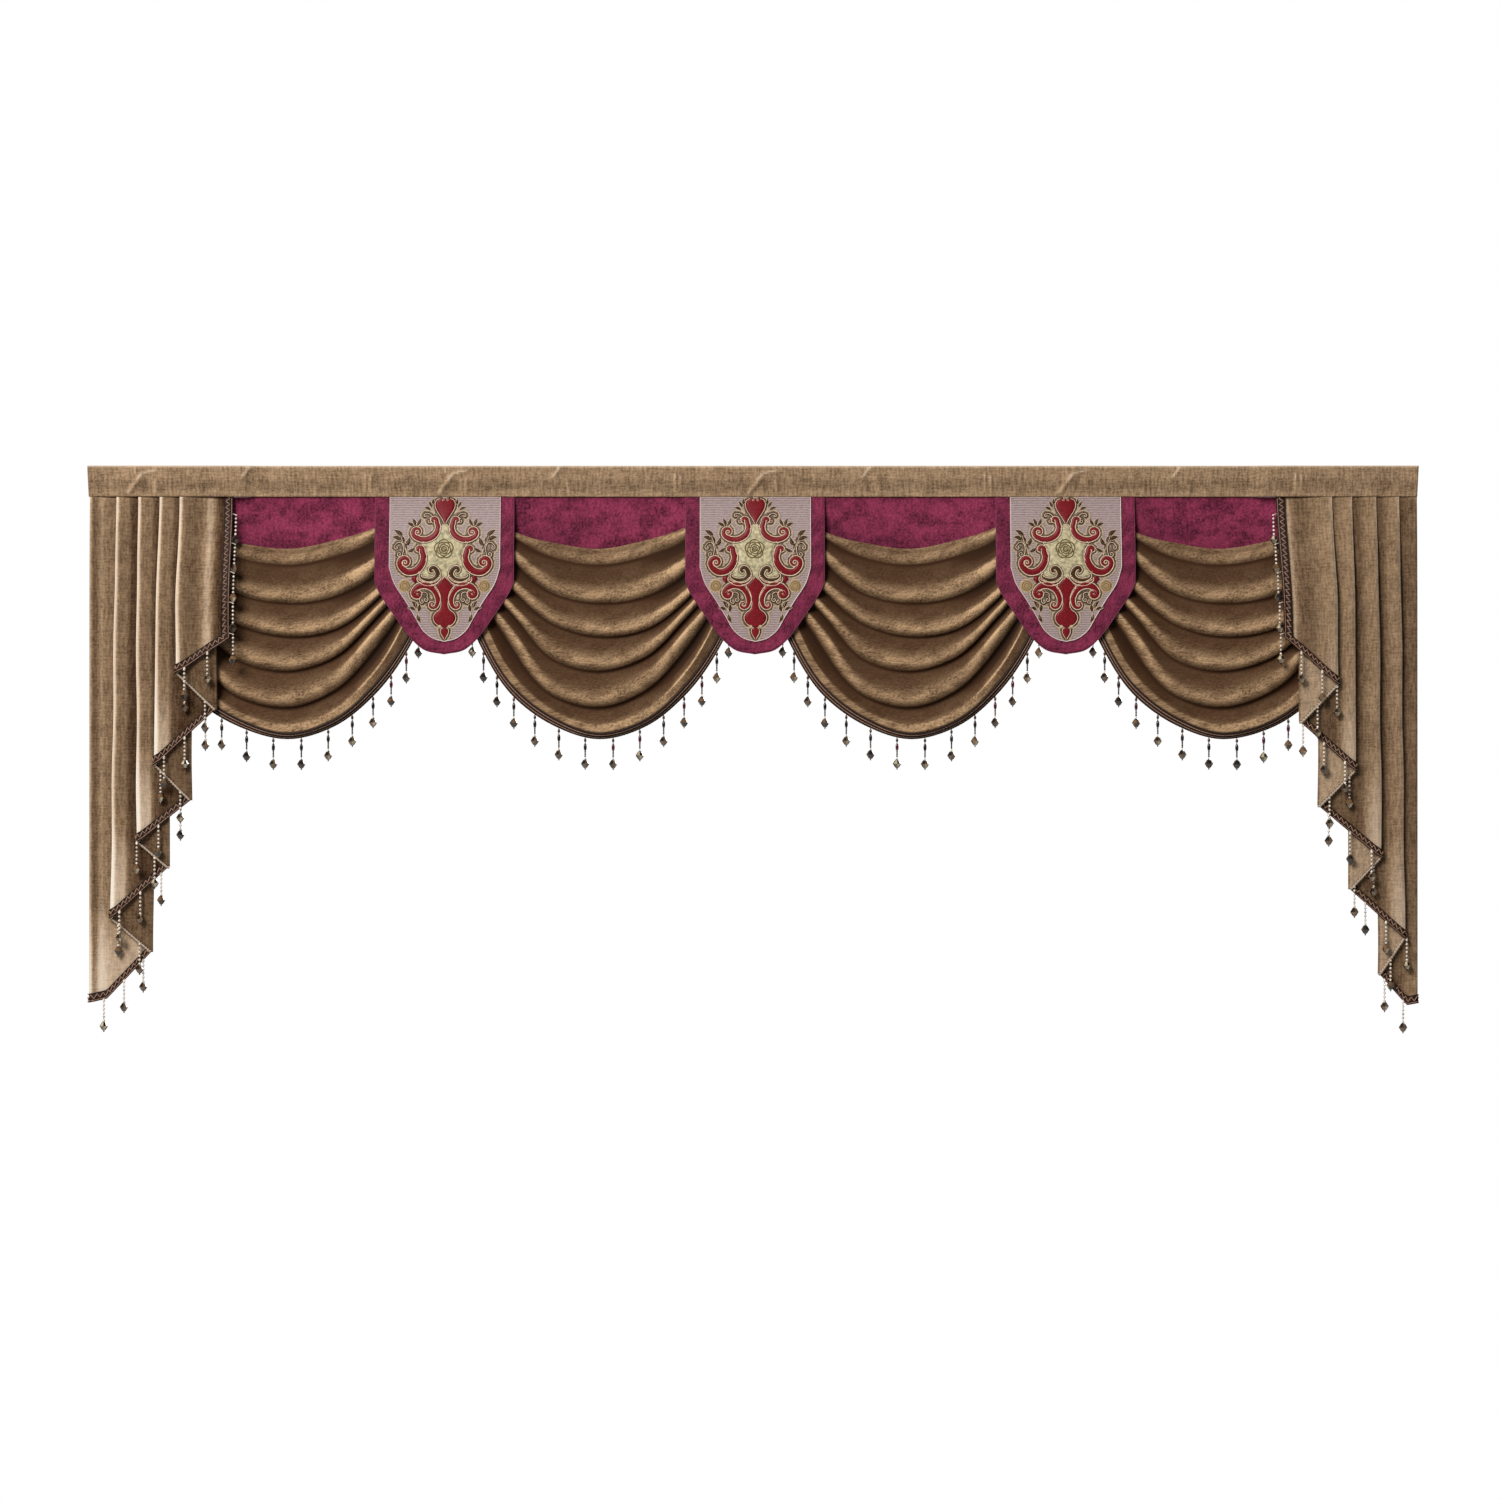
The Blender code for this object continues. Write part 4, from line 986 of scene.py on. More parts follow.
def tail_grid(pleats, side, swell):
    """The pleated cloth of a tail, each row from the inner edge to the outer edge."""
    # Rows as shares of the way to the braid, and from 1 to 2 down the braid.
    above = np.linspace(0.0, 1.0, TAIL_ROWS - TAIL_HEM_ROWS, endpoint=False)
    shares = np.concatenate([above, np.linspace(1.0, 2.0, TAIL_HEM_ROWS + 1)])
    columns, worn = [], []
    inner = pleats[0].at_heading
    last = len(pleats) - 2

    def add_column(out, forward, level, light):
        columns.append(np.stack([side * out, -forward, -level], axis=1))
        worn.append(np.broadcast_to(light, len(level)))

    def levels_of(drop):
        foot = drop - BRAID_WIDTH
        on_braid = foot + (shares - 1.0) * BRAID_WIDTH
        return np.where(shares <= 1.0, CLOTH_TOP + shares * (foot - CLOTH_TOP), on_braid)

    def fold_place(i, level):
        """Where a fold hangs: on the way from its place at the heading to the hem's, wavering a little."""
        pleat = pleats[i]
        fall = (level - CLOTH_TOP) / (pleat.drop - CLOTH_TOP)
        waver = 0.0012 * math.sin(2.1 * i)
        moved = waver * np.sin(level * 21.0 + 1.7 * i) * fanned_out(level) if 0 < i < len(pleats) - 1 else 0.0
        return pleat.at_heading + (pleat.at_hem - pleat.at_heading) * fall + moved

    for layer, (start, end) in enumerate(zip(pleats[:-1], pleats[1:])):
        in_front = layer % 2 == 0
        way = 1.0 if in_front else -1.0
        width = abs(end.at_hem - start.at_hem)
        for share in column_places(layer, width):
            drop = start.drop + (end.drop - start.drop) * share
            if layer == last:
                drop += float(np.interp(share, (0.0, LAST_HEM_PLACE, 1.0), (0.0, LAST_HEM_BOW, 0.0)))
            level = levels_of(drop)
            # A layer starts and ends where its folds turn, half the gap to its neighbour in from each line.
            x_start, x_end = fold_place(layer, level), fold_place(layer + 1, level)
            if layer > 0:
                x_start = x_start + way * gap(layer, layer - 1, x_start - inner, level) / 2
            if layer < last:
                x_end = x_end - way * gap(layer, layer + 1, x_end - inner, level) / 2
            out = x_start + (x_end - x_start) * share
            forward = layer_depth(layer, out - inner, level)
            in_from_fold = (1.0 - share) * width
            # light is painted light and shade, kept in the attribute: painted highlights by the front folds,
            # painted shade further in.
            light = RETURN_TONE_AND_PAINTED_LIGHT[side]
            if layer == 0:
                wave = looked_up(FIRST_LAYER_WAVE, share * width) * fanned_out(level)
                forward = forward + wave * SWELL_SHARE[side]
            if in_front:
                roll = float(looked_up(PLEAT_ROLL, in_from_fold))
                swelling_down = smoothstep(level, CLOTH_TOP, CLOTH_TOP + SWELL_LENGTH)
                forward = forward + swell * SWELL_SHARE[side] * roll * swelling_down
                table = {0: FIRST_LAYER_PAINTED_LIGHT, last: LAST_LAYER_PAINTED_LIGHT}.get(layer, PLEAT_PAINTED_LIGHT)[side]
                light = float(looked_up(table, in_from_fold)) * hem_gleam(side, level, drop)
            add_column(out, forward, level, light)
        if layer < last:
            level = levels_of(end.drop)
            middle = fold_place(layer + 1, level)
            front = layer_depth(layer, middle - inner, level)
            behind = layer_depth(layer + 1, middle - inner, level)
            radius = np.abs(front - behind) / 2
            # Painted highlight round a front fold, painted light on a back fold.
            light = FOLD_EDGE_PAINTED_LIGHT[side] * hem_gleam(side, level, end.drop) if in_front else BACK_FOLD_PAINTED_LIGHT
            for angle in np.linspace(0.0, math.pi, TAIL_FOLD_STEPS + 1)[1:-1]:
                out = middle - way * radius + way * radius * math.sin(angle)
                add_column(out, (front + behind) / 2 + radius * math.cos(angle), level, light)
    return np.swapaxes(np.array(columns), 0, 1), np.array(worn).T


# ---------------------------------------------------------------------- braid and drops


def tail_braid_strip(grid, side):
    """The braid's grid on a tail, across (inner to outer) by along, its normals and its corner's place."""
    steps = TAIL_HEM_ROWS
    edge = len(grid) - 1 - steps
    # The mitre: the last upright line is turned to meet the first line of the hem.
    inside, corner = grid[edge, steps], grid[-1, 0]
    mitre = np.array([inside + (corner - inside) * i / steps for i in range(steps + 1)])[:, None]
    normals = face_normals(grid) * side
    mitre_normals = np.broadcast_to(normals[edge, steps], mitre.shape)
    strips = []
    for values, turn in ((grid, mitre), (normals, mitre_normals)):
        upright = np.array([values[:edge, steps - i] for i in range(steps + 1)])
        hem = np.array([values[edge + i, steps + 2 :] for i in range(steps + 1)])
        strips.append(np.concatenate([upright, turn, hem], axis=1))
    return strips[0], unit(strips[1]), edge


def evenly(strip, values, step):
    """A strip and its values with their lines spaced evenly along the strip."""
    along = lengths_along(strip[strip.shape[0] // 2])
    places = np.linspace(0.0, along[-1], max(int(along[-1] / step), 2))
    return [
        np.array([np.transpose([np.interp(places, along, axis) for axis in line.T]) for line in grid])
        for grid in (strip, values)
    ]


def at_share(strip, share, index):
    """Points of a strip at a share of the way across, 0 on its inner line, for each index along it."""
    place = np.clip(share, 0.0, 1.0) * (strip.shape[0] - 1)
    low = np.minimum(np.floor(place).astype(int), strip.shape[0] - 2)
    part = (place - low)[:, None]
    return strip[low, index] * (1.0 - part) + strip[low + 1, index] * part


def along_edge(points, distances):
    """The segment of a line, and the share of the way along it, at each distance."""
    along = lengths_along(points)
    for distance in distances:
        index = min(int(np.searchsorted(along, distance, side="right")) - 1, len(points) - 2)
        yield index, (distance - along[index]) / (along[index + 1] - along[index])


def between(points, index, share):
    return points[index] * (1.0 - share) + points[index + 1] * share


def hanging_place(edge, inner, normal, forward):
    """Root of a drop in the braid, the top of the axis it hangs on, and its lean."""
    root = edge + unit(inner - edge) * ROOT_INSET + normal * ROOT_FORWARD
    return root, np.array([root[0], min(root[1] - forward, -WALL_CLEARANCE), edge[2]]), np.zeros(3)


def swag_drop_places(strip, normals, number):
    lines = strip[-1], strip[0], normals[-1]
    edge = lines[0]
    middle = float(np.interp(SWAG_MIDDLES[number - 1], edge[:, 0], lengths_along(edge)))
    distances = [middle + DROP_SPACING * (i - (SWAG_DROPS - 1) / 2) for i in range(SWAG_DROPS)]
    if number == 1:
        distances = distances[HIDDEN_DROPS:]
    if number == len(SWAG_MIDDLES):
        distances = distances[:-HIDDEN_DROPS]
    return [hanging_place(*(between(line, *at) for line in lines), 0.0) for at in along_edge(edge, distances)]


def tail_drop_places(strip, normals, corner, side):
    hem = [line[corner:] for line in (strip[-1], strip[0], normals[-1])]
    edge, _, normal = hem
    length = lengths_along(edge)[-1]
    count = int((length - LAST_DROP_IN) // DROP_SPACING) + 1
    start = length - LAST_DROP_IN - (count - 1) * DROP_SPACING
    places = []
    for at in along_edge(edge, [start + DROP_SPACING * i for i in range(count)]):
        forward = HANG_FORWARD_FRONT if between(normal, *at)[1] < 0.0 else HANG_FORWARD_RETURN
        places.append(hanging_place(*(between(line, *at) for line in hem), forward))
    upright, upright_normal = strip[-1, : corner + 1], normals[-1, : corner + 1]
    starts = [EDGE_DROP_TOP - CLOTH_TOP + EDGE_DROP_SPACING * i for i in range(EDGE_DROPS)]
    crystals = along_edge(upright, [distance + CRYSTAL_DOWN for distance in starts])
    for at, (low, low_share) in zip(along_edge(upright, starts), crystals):
        place = between(upright, *at)
        root = place + between(upright_normal, *at) * ROOT_FORWARD
        forward = between(upright, low, min(low_share, 1.0))[1] - place[1]
        places.append((root, root - (side * EDGE_DROP_OUT, 0.0, 0.0), np.array([0.0, forward, 0.0])))
    return places


# Yarns of the braid: share of the way across, lift, radius, finish, whether it is plied one way (1) or the
# other (-1), and how far it loops from side to side. Both kinds have a plied cord along each edge. A looped
# braid has a plied yarn, a thin line and a row of loops between them, and a plain one two plied yarns and a
# thin line.
DARK_YARN, PALE_YARN, EDGE_YARN = range(3)
Yarn = namedtuple("Yarn", "across lift radius finish ply wave", defaults=[0, 0.0])
EDGE_CORDS = (Yarn(0.06, 0.0012, 0.0013, DARK_YARN, 1), Yarn(0.94, 0.0012, 0.0013, DARK_YARN, -1))
LOOPED_YARNS = (
    Yarn(0.84, 0.0011, 0.0012, PALE_YARN, 1),
    Yarn(0.72, 0.0011, 0.0008, DARK_YARN),
    Yarn(0.41, 0.0017, 0.0014, PALE_YARN, wave=0.24),
)
PLAIN_YARNS = (
    Yarn(0.32, 0.0012, 0.0012, PALE_YARN, 1),
    Yarn(0.50, 0.0012, 0.0009, DARK_YARN),
    Yarn(0.68, 0.0012, 0.0012, PALE_YARN, -1),
)

# Beads of one drop from the braid down: kind, middle under the braid's edge, half height and radius, in mm.
Bead = namedtuple("Bead", "kind down half radius")
CRYSTAL = (Bead("crystal", 59.5, 11.5, 9.6), Bead("amber", 71.5, 1.6, 1.8))
SWAG_BEADS = (
    Bead("seed", 1.6, 1.5, 1.5),
    Bead("amber", 7.2, 4.6, 3.4),
    Bead("seed", 13.0, 1.5, 1.5),
    Bead("long", 22.5, 9.0, 4.0),
    *(Bead("seed", 32.6 + 3.5 * i, 2.0, 2.3) for i in range(4)),
    Bead("pearl", 47.2, 1.7, 1.8),
    *CRYSTAL,
)
TAIL_BEADS = (
    *(Bead("pearl", 3.3 + 8.8 * i, 2.9, 3.1) for i in range(6)),
    *(Bead("amber", 7.7 + 8.8 * i, 1.1, 1.5) for i in range(5)),
    *CRYSTAL,
)
# Places in the list of bead finishes. Every third long bead takes the one after it.
BEAD_KINDS = {"pearl": 0, "amber": 1, "long": 2, "seed": 4}
# Finishes a crystal's facets draw from at random: the painted highlight, the amber and olive tints and the
# painted dark reflection.
CRYSTAL_FACETS = (5, 6, 6, 7, 7, 8, 8, 8)
DROP_KINDS = 9


def face_place(face):
    """Where a face lies, to 0.01 mm: faces are sorted by it, as their own order changes between runs."""
    return [round(value, 5) for value in face.calc_center_median()]


def bead(bm, part, sides, rings, indices):
    """One bead on an upright axis: a small stretched globe with its poles closed."""
    made = bmesh.ops.create_uvsphere(bm, u_segments=sides, v_segments=rings, radius=1.0)["verts"]
    for vert in made:
        # A cut crystal narrows straight from its flat girdle to its points.
        reach = min(1.25 * (1.0 - abs(vert.co.z)), 1.0)
        girth = reach / max(math.hypot(vert.co.x, vert.co.y), 0.01) if part.kind == "crystal" else 1.0
        round_radius = part.radius * (0.35 + 0.65 * girth)
        x, y, z = vert.co
        vert.co = Vector((x * round_radius, y * round_radius, z * part.half - part.down)) * MM
    faces = {face for vert in made for face in vert.link_faces}
    for face, index in zip(sorted(faces, key=face_place), indices):
        face.material_index = index
        face.smooth = part.kind != "crystal"


def drop_prototypes(beads):
    """A few drops that differ in their long bead and in the tints and painted reflections on their crystals'
    facets.
    """
    sides = settings()[0].crystal_sides
    chance = random.Random(7)
    meshes = []
    for number in range(DROP_KINDS):
        bm = bmesh.new()
        for part in beads:
            if part.kind == "crystal":
                bead(bm, part, sides, 4, [chance.choice(CRYSTAL_FACETS) for _ in range(sides * 4)])
            else:
                index = BEAD_KINDS[part.kind] + (1 if part.kind == "long" and number % 3 == 0 else 0)
                rings = 6 if part.kind == "long" else 4
                bead(bm, part, 6, rings, [index] * (6 * rings))
        meshes.append(mesh_from(bm, "drop"))
    return meshes


def drops_object(name, places, seed, prototypes):
    """All the beaded drops of one braid as one mesh."""
    chance = random.Random(seed)
    bm = bmesh.new()
    for root, hang, lean in places:
        known = len(bm.verts)
        bm.from_mesh(chance.choice(prototypes))
        bm.verts.ensure_lookup_table()
        for vert in bm.verts[known:]:
            down = -vert.co.z
            place = root if down < ROOT_INSET else hang + lean * min(down / CRYSTAL_DOWN, 1.0)
            vert.co += Vector([float(value) for value in place])
    return add_piece(name, mesh_from(bm, name), BEADS)


def braid_cords(strip, normals, looped):
    """The raised yarns of a braid, as (points, radius, place in the list of finishes)."""
    index = np.arange(strip.shape[1])
    plied = np.where(index % 2 == 0, 1.0, 0.62)
    splines = []
    for yarn in (*EDGE_CORDS, *(LOOPED_YARNS if looped else PLAIN_YARNS)):
        share = yarn.across + yarn.wave * np.sin(index * math.pi / 2.0)
        points = at_share(strip, share, index) + at_share(normals, share, index) * yarn.lift
        splines.append((points, (plied[:: yarn.ply] if yarn.ply else 1.0) * yarn.radius, yarn.finish))
    # Where the braid faces away, its turned edge shows along the hem of the cloth's wrong side.
    away = np.flatnonzero(normals[normals.shape[0] // 2, :, 1] > 0.5)
    for run in np.split(away, np.flatnonzero(np.diff(away) > 1) + 1):
        if len(run) > 4:
            through = normals[-1, run] * (BRAID_LIFT + CLOTH / 2 + 0.0009)
            splines.append((strip[-1, run] - through, plied[run] * 0.0038, EDGE_YARN))
            beside = strip[-1, run] + (strip[0, run] - strip[-1, run]) * 0.16
            splines.append((beside - through, 0.0009, DARK_YARN))
    return splines


def make_trim(name, strip, normals, node, looped):
    """The woven ground of a braid and its raised yarns."""
    even, even_normals = evenly(strip, normals, YARN_STEP)
    ground = cloth_sheet(name, even[:, ::3], BRAID, MATERIALS["braid"])
    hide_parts(node)
    cords = braid_cords(even, unit(even_normals), looped)
    materials = finishes("braid cord", "braid yarn", "braid edge")
    return [ground, cord_object(name + "_yarns", cords, materials)]


# ---------------------------------------------------------------------- embroidery


# Scrolls on the right half of a tab, in mm from its middle line and down it. Each end curls into a volute:
# its centre, radius, the angle it starts at, turns, and hand (1 anticlockwise as it is looked at).
Volute = namedtuple("Volute", "x drop radius angle turns hand")
Scroll = namedtuple("Scroll", "name first via last width colour")
SCROLLS = (
    Scroll("upper", Volute(25.5, 120.0, 7.5, 200.0, 0.75, -1),
           ((15.5, 133.0), (20.0, 150.0), (37.0, 162.0), (56.0, 162.0)),
           Volute(61.5, 146.0, 10.5, 330.0, 1.10, 1), 12.5, "red"),
    Scroll("side", Volute(57.0, 186.0, 7.5, 200.0, 0.80, -1),
           ((46.5, 202.0), (51.0, 219.0), (64.0, 233.0), (84.0, 236.0)),
           Volute(88.5, 214.5, 12.5, 330.0, 1.20, 1), 15.0, "red"),
    Scroll("lobe", Volute(27.0, 233.0, 8.0, 150.0, 0.70, -1), ((15.0, 243.0), (24.0, 253.0), (39.0, 254.0)),
           Volute(50.0, 242.0, 5.0, 330.0, 0.25, 1), 10.5, "dark"),
    Scroll("lobe edge", Volute(12.0, 247.0, 1.0, 150.0, 0.2, -1),
           ((18.0, 257.0), (33.0, 262.5), (47.0, 261.0)),
           Volute(58.0, 250.0, 2.0, 330.0, 0.2, 1), 7.5, "band"),
    Scroll("lower", Volute(61.0, 284.5, 9.0, 40.0, 1.10, -1),
           ((58.0, 268.5), (40.0, 267.0), (23.0, 277.0), (15.0, 295.0)),
           Volute(27.0, 308.5, 10.0, 190.0, 0.85, 1), 13.5, "red"),
    Scroll("crook", Volute(35.0, 121.0, 6.0, 90.0, 1.0, 1), ((29.0, 112.0), (33.0, 106.0), (41.0, 104.0)),
           Volute(44.0, 109.0, 4.5, 90.0, 0.6, -1), 2.6, "line"),
    Scroll("border", Volute(101.0, 196.0, 7.0, 180.0, 1.1, 1), ((92.0, 184.0), (95.0, 172.0), (106.0, 170.0)),
           Volute(108.0, 181.0, 6.0, 60.0, 0.8, -1), 2.8, "line"),
    Scroll("foot", Volute(42.0, 298.0, 6.0, 120.0, 1.0, 1), ((38.0, 286.0), (47.0, 281.0), (54.0, 290.0)),
           Volute(50.0, 302.0, 6.0, 20.0, 0.7, -1), 2.6, "line"),
)
# Half-widths of the motif's middle shapes, in mm: (drop, half-width).
HEART = (
    (70.6, 11.0), (74.0, 18.5), (80.0, 21.5), (88.0, 21.5), (97.0, 18.0), (106.0, 12.5), (116.0, 6.0),
    (126.0, 1.0),
)
BALUSTER = (
    (247.5, 0.6), (256.0, 10.0), (264.0, 17.5), (271.0, 20.5), (279.0, 15.5), (288.0, 10.5), (300.0, 7.6),
    (312.0, 7.4), (320.0, 10.5), (328.0, 20.0), (336.0, 24.5), (345.0, 23.5), (353.0, 17.5), (359.5, 6.0),
)
FINIAL = ((361.0, 4.0), (365.0, 8.0), (370.5, 8.4), (377.5, 5.6), (386.0, 0.6))
CARTOUCHE = (
    (128.0, 3.0), (137.0, 9.5), (148.0, 15.0), (158.0, 23.0), (166.0, 40.0), (171.0, 50.0), (178.0, 46.0),
    (190.0, 39.0), (202.0, 39.0), (214.0, 44.0), (226.0, 52.0), (238.0, 57.0), (248.0, 54.0), (256.0, 34.0),
    (262.0, 14.0),
)
# A small red lozenge beside the lobes: middle and half-diagonals, in mm.
LOZENGE = (66.5, 251.5, 8.5, 11.0)
# Leaves on the right half: foot, direction in degrees (0 to the right, 90 up), length, all in mm.
Leaf = namedtuple("Leaf", "x drop angle length")
LEAVES = (
    Leaf(92.0, 173.0, 62.0, 18.0), Leaf(93.0, 166.0, 20.0, 19.0), Leaf(89.0, 178.0, 118.0, 17.0),
    Leaf(86.0, 186.0, 60.0, 16.0), Leaf(95.0, 158.0, 42.0, 18.0), Leaf(82.0, 190.0, 150.0, 13.0),
    Leaf(62.0, 318.0, 55.0, 15.0), Leaf(60.0, 326.0, 100.0, 14.0), Leaf(66.0, 321.0, 15.0, 13.0),
    Leaf(60.0, 331.0, 250.0, 14.0), Leaf(67.0, 132.0, 70.0, 13.0), Leaf(63.0, 131.0, 115.0, 13.0),
    Leaf(70.0, 134.0, 30.0, 13.0), Leaf(30.0, 90.0, 60.0, 11.0), Leaf(33.0, 96.0, 25.0, 11.0),
    Leaf(29.0, 84.0, 95.0, 10.0),
)
# Stems that carry the leaves, as points in mm.
STEMS = (
    ((83.0, 206.0), (84.0, 195.0), (89.0, 180.0), (95.0, 166.0), (99.0, 154.0)),
    ((66.0, 306.0), (62.0, 318.0), (58.0, 330.0), (60.0, 340.0)),
    ((44.0, 118.0), (54.0, 126.0), (62.0, 136.0)),
    ((23.0, 103.0), (29.0, 97.0), (33.0, 88.0)),
)
# An ochre roundel on each side and the rose in the middle: middle and radius, in mm.
ROUNDEL = (89.0, 267.0, 14.5)
ROSE = (-2.0, 184.0, 21.0)
# Rings of the rose's petals from the outside in: share of its radius, petals, turn.
ROSE_RINGS = ((1.0, 5, 0.2), (0.74, 5, 0.9), (0.50, 4, 0.4), (0.28, 3, 1.1))
CORD_MM = 1.05
GOLD_OUT_MM, DARK_OUT_MM = 0.8 * CORD_MM, 2.3 * CORD_MM
LEAF_STRETCH = 1.35
MOTIF_DROP_MM = 4.0
FILL_STEP_MM = 2.0
STITCH = 0.0001
# Finishes of the fills and of the cords, by their place in the list.
RED, CREAM, LEAF, OCHRE = range(4)
GOLD_CORD, OLIVE_CORD, DARK_CORD = range(3)
# Shapes on the middle line from the lowest up: outline, fill, height of the crown in mm.
MIDDLE_SHAPES = ((CARTOUCHE, CREAM, 0.8), (HEART, RED, 1.6), (BALUSTER, RED, 1.6), (FINIAL, RED, 1.3))
# Width along a stroke: share of its length, share of its full width.
STROKE_SWELL = ((0.0, 0.46), (0.10, 0.72), (0.38, 1.0), (0.66, 0.84), (0.86, 0.46), (1.0, 0.20))
# Fill, height of the crown and height of the edge of each kind of stroke, in mm.
STROKE_FILLS = {"red": (RED, 1.7, 0.15), "dark": (LEAF, 1.0, 0.95), "band": (RED, 0.9, 0.6)}


def volute_points(volute, inward):
    """Points of a volute from its outer end to its eye, or the other way."""
    t = np.linspace(0.0, 1.0, max(int(volute.turns * 16), 5))
    angle = np.radians(volute.angle + volute.hand * 360.0 * volute.turns * t)
    radius = volute.radius * (1.0 - 0.72 * t)
    points = np.stack([volute.x + radius * np.cos(angle), volute.drop - radius * np.sin(angle)], axis=1)
    return points if inward else points[::-1]


def scroll_line(scroll, count=48):
    ends = volute_points(scroll.first, False), volute_points(scroll.last, True)
    return curve_through(np.concatenate([ends[0], scroll.via, ends[1]]), count, 6)


def side_normals(line):
    tangent = unit(np.gradient(line, axis=0))
    return np.stack([-tangent[:, 1], tangent[:, 0]], axis=1)


def swelling(count, width):
    """Width along a stroke: blunt where it starts, full before its middle and narrow where it ends."""
    return width * looked_up(STROKE_SWELL, np.linspace(0.0, 1.0, count))


class Needlework:
    """The strokes, fills and cords of one tab, set on its leaning face."""

    def __init__(self):
        self.bm = bmesh.new()
        self.cords = []
        self.marks = []

    def place(self, flat, lift):
        """Points (mm across, mm down) on the face of the tab, lifted by millimetres."""
        flat = np.asarray(flat, dtype=float)
        level = (flat[..., 1] + MOTIF_DROP_MM) * MM
        depth = tab_depth(level) + TAB_FRONT_FORWARD + CLOTH / 2 + np.asarray(lift) * MM
        return np.stack([flat[..., 0] * MM, -depth, -level], axis=-1)

    def ribbon(self, left, right, fill, crown, across=6, base=0.15):
        """A filled shape between two lines, raised to a soft crown."""
        rows = []
        for s in np.linspace(0.0, 1.0, across + 1):
            raised = base + crown * math.sqrt(max(1.0 - (2 * s - 1.0) ** 2, 0.0))
            rows.append(self.place(left * (1.0 - s) + right * s, raised))
        faces = grid_mesh(self.bm, np.array(rows), fill)
        self.bm.normal_update()
        back = [face for face in faces if face.normal.y > 0.0]
        bmesh.ops.reverse_faces(self.bm, faces=back)

    def cord(self, line, cord, radius=CORD_MM, lift=0.5):
        self.cords.append((self.place(line, lift), radius * MM, cord))

    def stroke(self, line, widths, fill, crown, base):
        """A filled stroke with a bright couched cord along each edge and a thin dark one outside it."""
        normals = side_normals(line)
        half = widths[:, None] / 2
        left, right = line + normals * half, line - normals * half
        self.ribbon(left, right, fill, crown, base=base)
        for edge, way in ((left, normals), (right, -normals)):
            self.cord(edge + way * GOLD_OUT_MM, GOLD_CORD, 1.4, base + 0.35)
            self.cord(edge + way * DARK_OUT_MM, DARK_CORD, 0.9, base + 0.35 - 0.2)
        self.marks.extend([left, right])

    def symmetric(self, profile, fill, crown):
        """A filled shape on the middle line with the same two cords round it."""
        line = curve_through(profile, max(int((profile[-1][0] - profile[0][0]) / FILL_STEP_MM), 10))
        right = np.stack([np.maximum(line[:, 1], 0.3), line[:, 0]], axis=1)
        left = mirrored(right)
        self.ribbon(left, right, fill, crown, across=10)
        outwards = side_normals(right)
        outwards *= np.where(outwards[:, :1] > 0.0, 1.0, -1.0)
        for way in (1.0, -1.0):
            turn = np.array([way, 1.0])
            self.cord((right + outwards * GOLD_OUT_MM) * turn, GOLD_CORD)
            self.cord((right + outwards * DARK_OUT_MM) * turn, DARK_CORD, 1.05, 0.3)
        self.marks.extend([left, right])


def ring_of(x, drop, radius, turns=1.0, count=28, inward=0.0):
    """A circle, or a coil that winds inward."""
    turn = np.linspace(0.0, math.tau * turns, count)
    reach = radius * (1.0 - inward * np.linspace(0.0, 1.0, count))
    return np.stack([x + reach * np.cos(turn), drop + reach * np.sin(turn)], axis=1)


def embroider():
    """Draws the whole motif once, on the middle of a tab."""
    needle = Needlework()
    for shape in MIDDLE_SHAPES:
        needle.symmetric(*shape)
    for turned in (np.array, mirrored):
        for scroll in SCROLLS:
            line = turned(scroll_line(scroll))
            if scroll.colour == "line":
                needle.cord(line, GOLD_CORD, 0.95)
                for way in (-1.0, 1.0):
                    needle.cord(line + way * 2.1 * side_normals(line), DARK_CORD, 0.9, 0.2)
                needle.marks.append(line)
            else:
                needle.stroke(line, swelling(len(line), scroll.width), *STROKE_FILLS[scroll.colour])
        for leaf in LEAVES:
            embroider_leaf(needle, leaf, turned)
        for stem in STEMS:
            needle.cord(turned(curve_through(stem, 14)), GOLD_CORD, 0.8, 0.4)
        x, drop, across, down = LOZENGE
        half = np.array([0.0, across, 0.0])
        drops = (drop - down, drop, drop + down)
        sides = [turned(np.stack([x + way * half, drops], axis=1)) for way in (1.0, -1.0)]
        needle.ribbon(*sides, RED, 0.8, across=2)
        x, drop, radius = ROUNDEL
        t = np.linspace(-1.0, 1.0, 17)
        chord = radius * np.sqrt(np.maximum(1.0 - t * t, 0.0004))
        sides = [turned(np.stack([x + way * chord, drop + radius * t], axis=1)) for way in (-1.0, 1.0)]
        needle.ribbon(*sides, OCHRE, 0.5)
        for share, cord in ((1.0, GOLD_CORD), (0.68, OLIVE_CORD), (0.38, OLIVE_CORD)):
            needle.cord(turned(ring_of(x, drop, radius * share)), cord, 0.7, 0.5)
        needle.cord(turned(ring_of(4.6, 73.0, 2.6, 1.2, 14, 0.5)), GOLD_CORD, 0.8, 1.2)
        needle.cord(turned(ring_of(11.0, 358.0, 4.2, 1.4, 18, 0.8)), GOLD_CORD, 1.0, 0.9)
    embroider_rose(needle)
    return needle


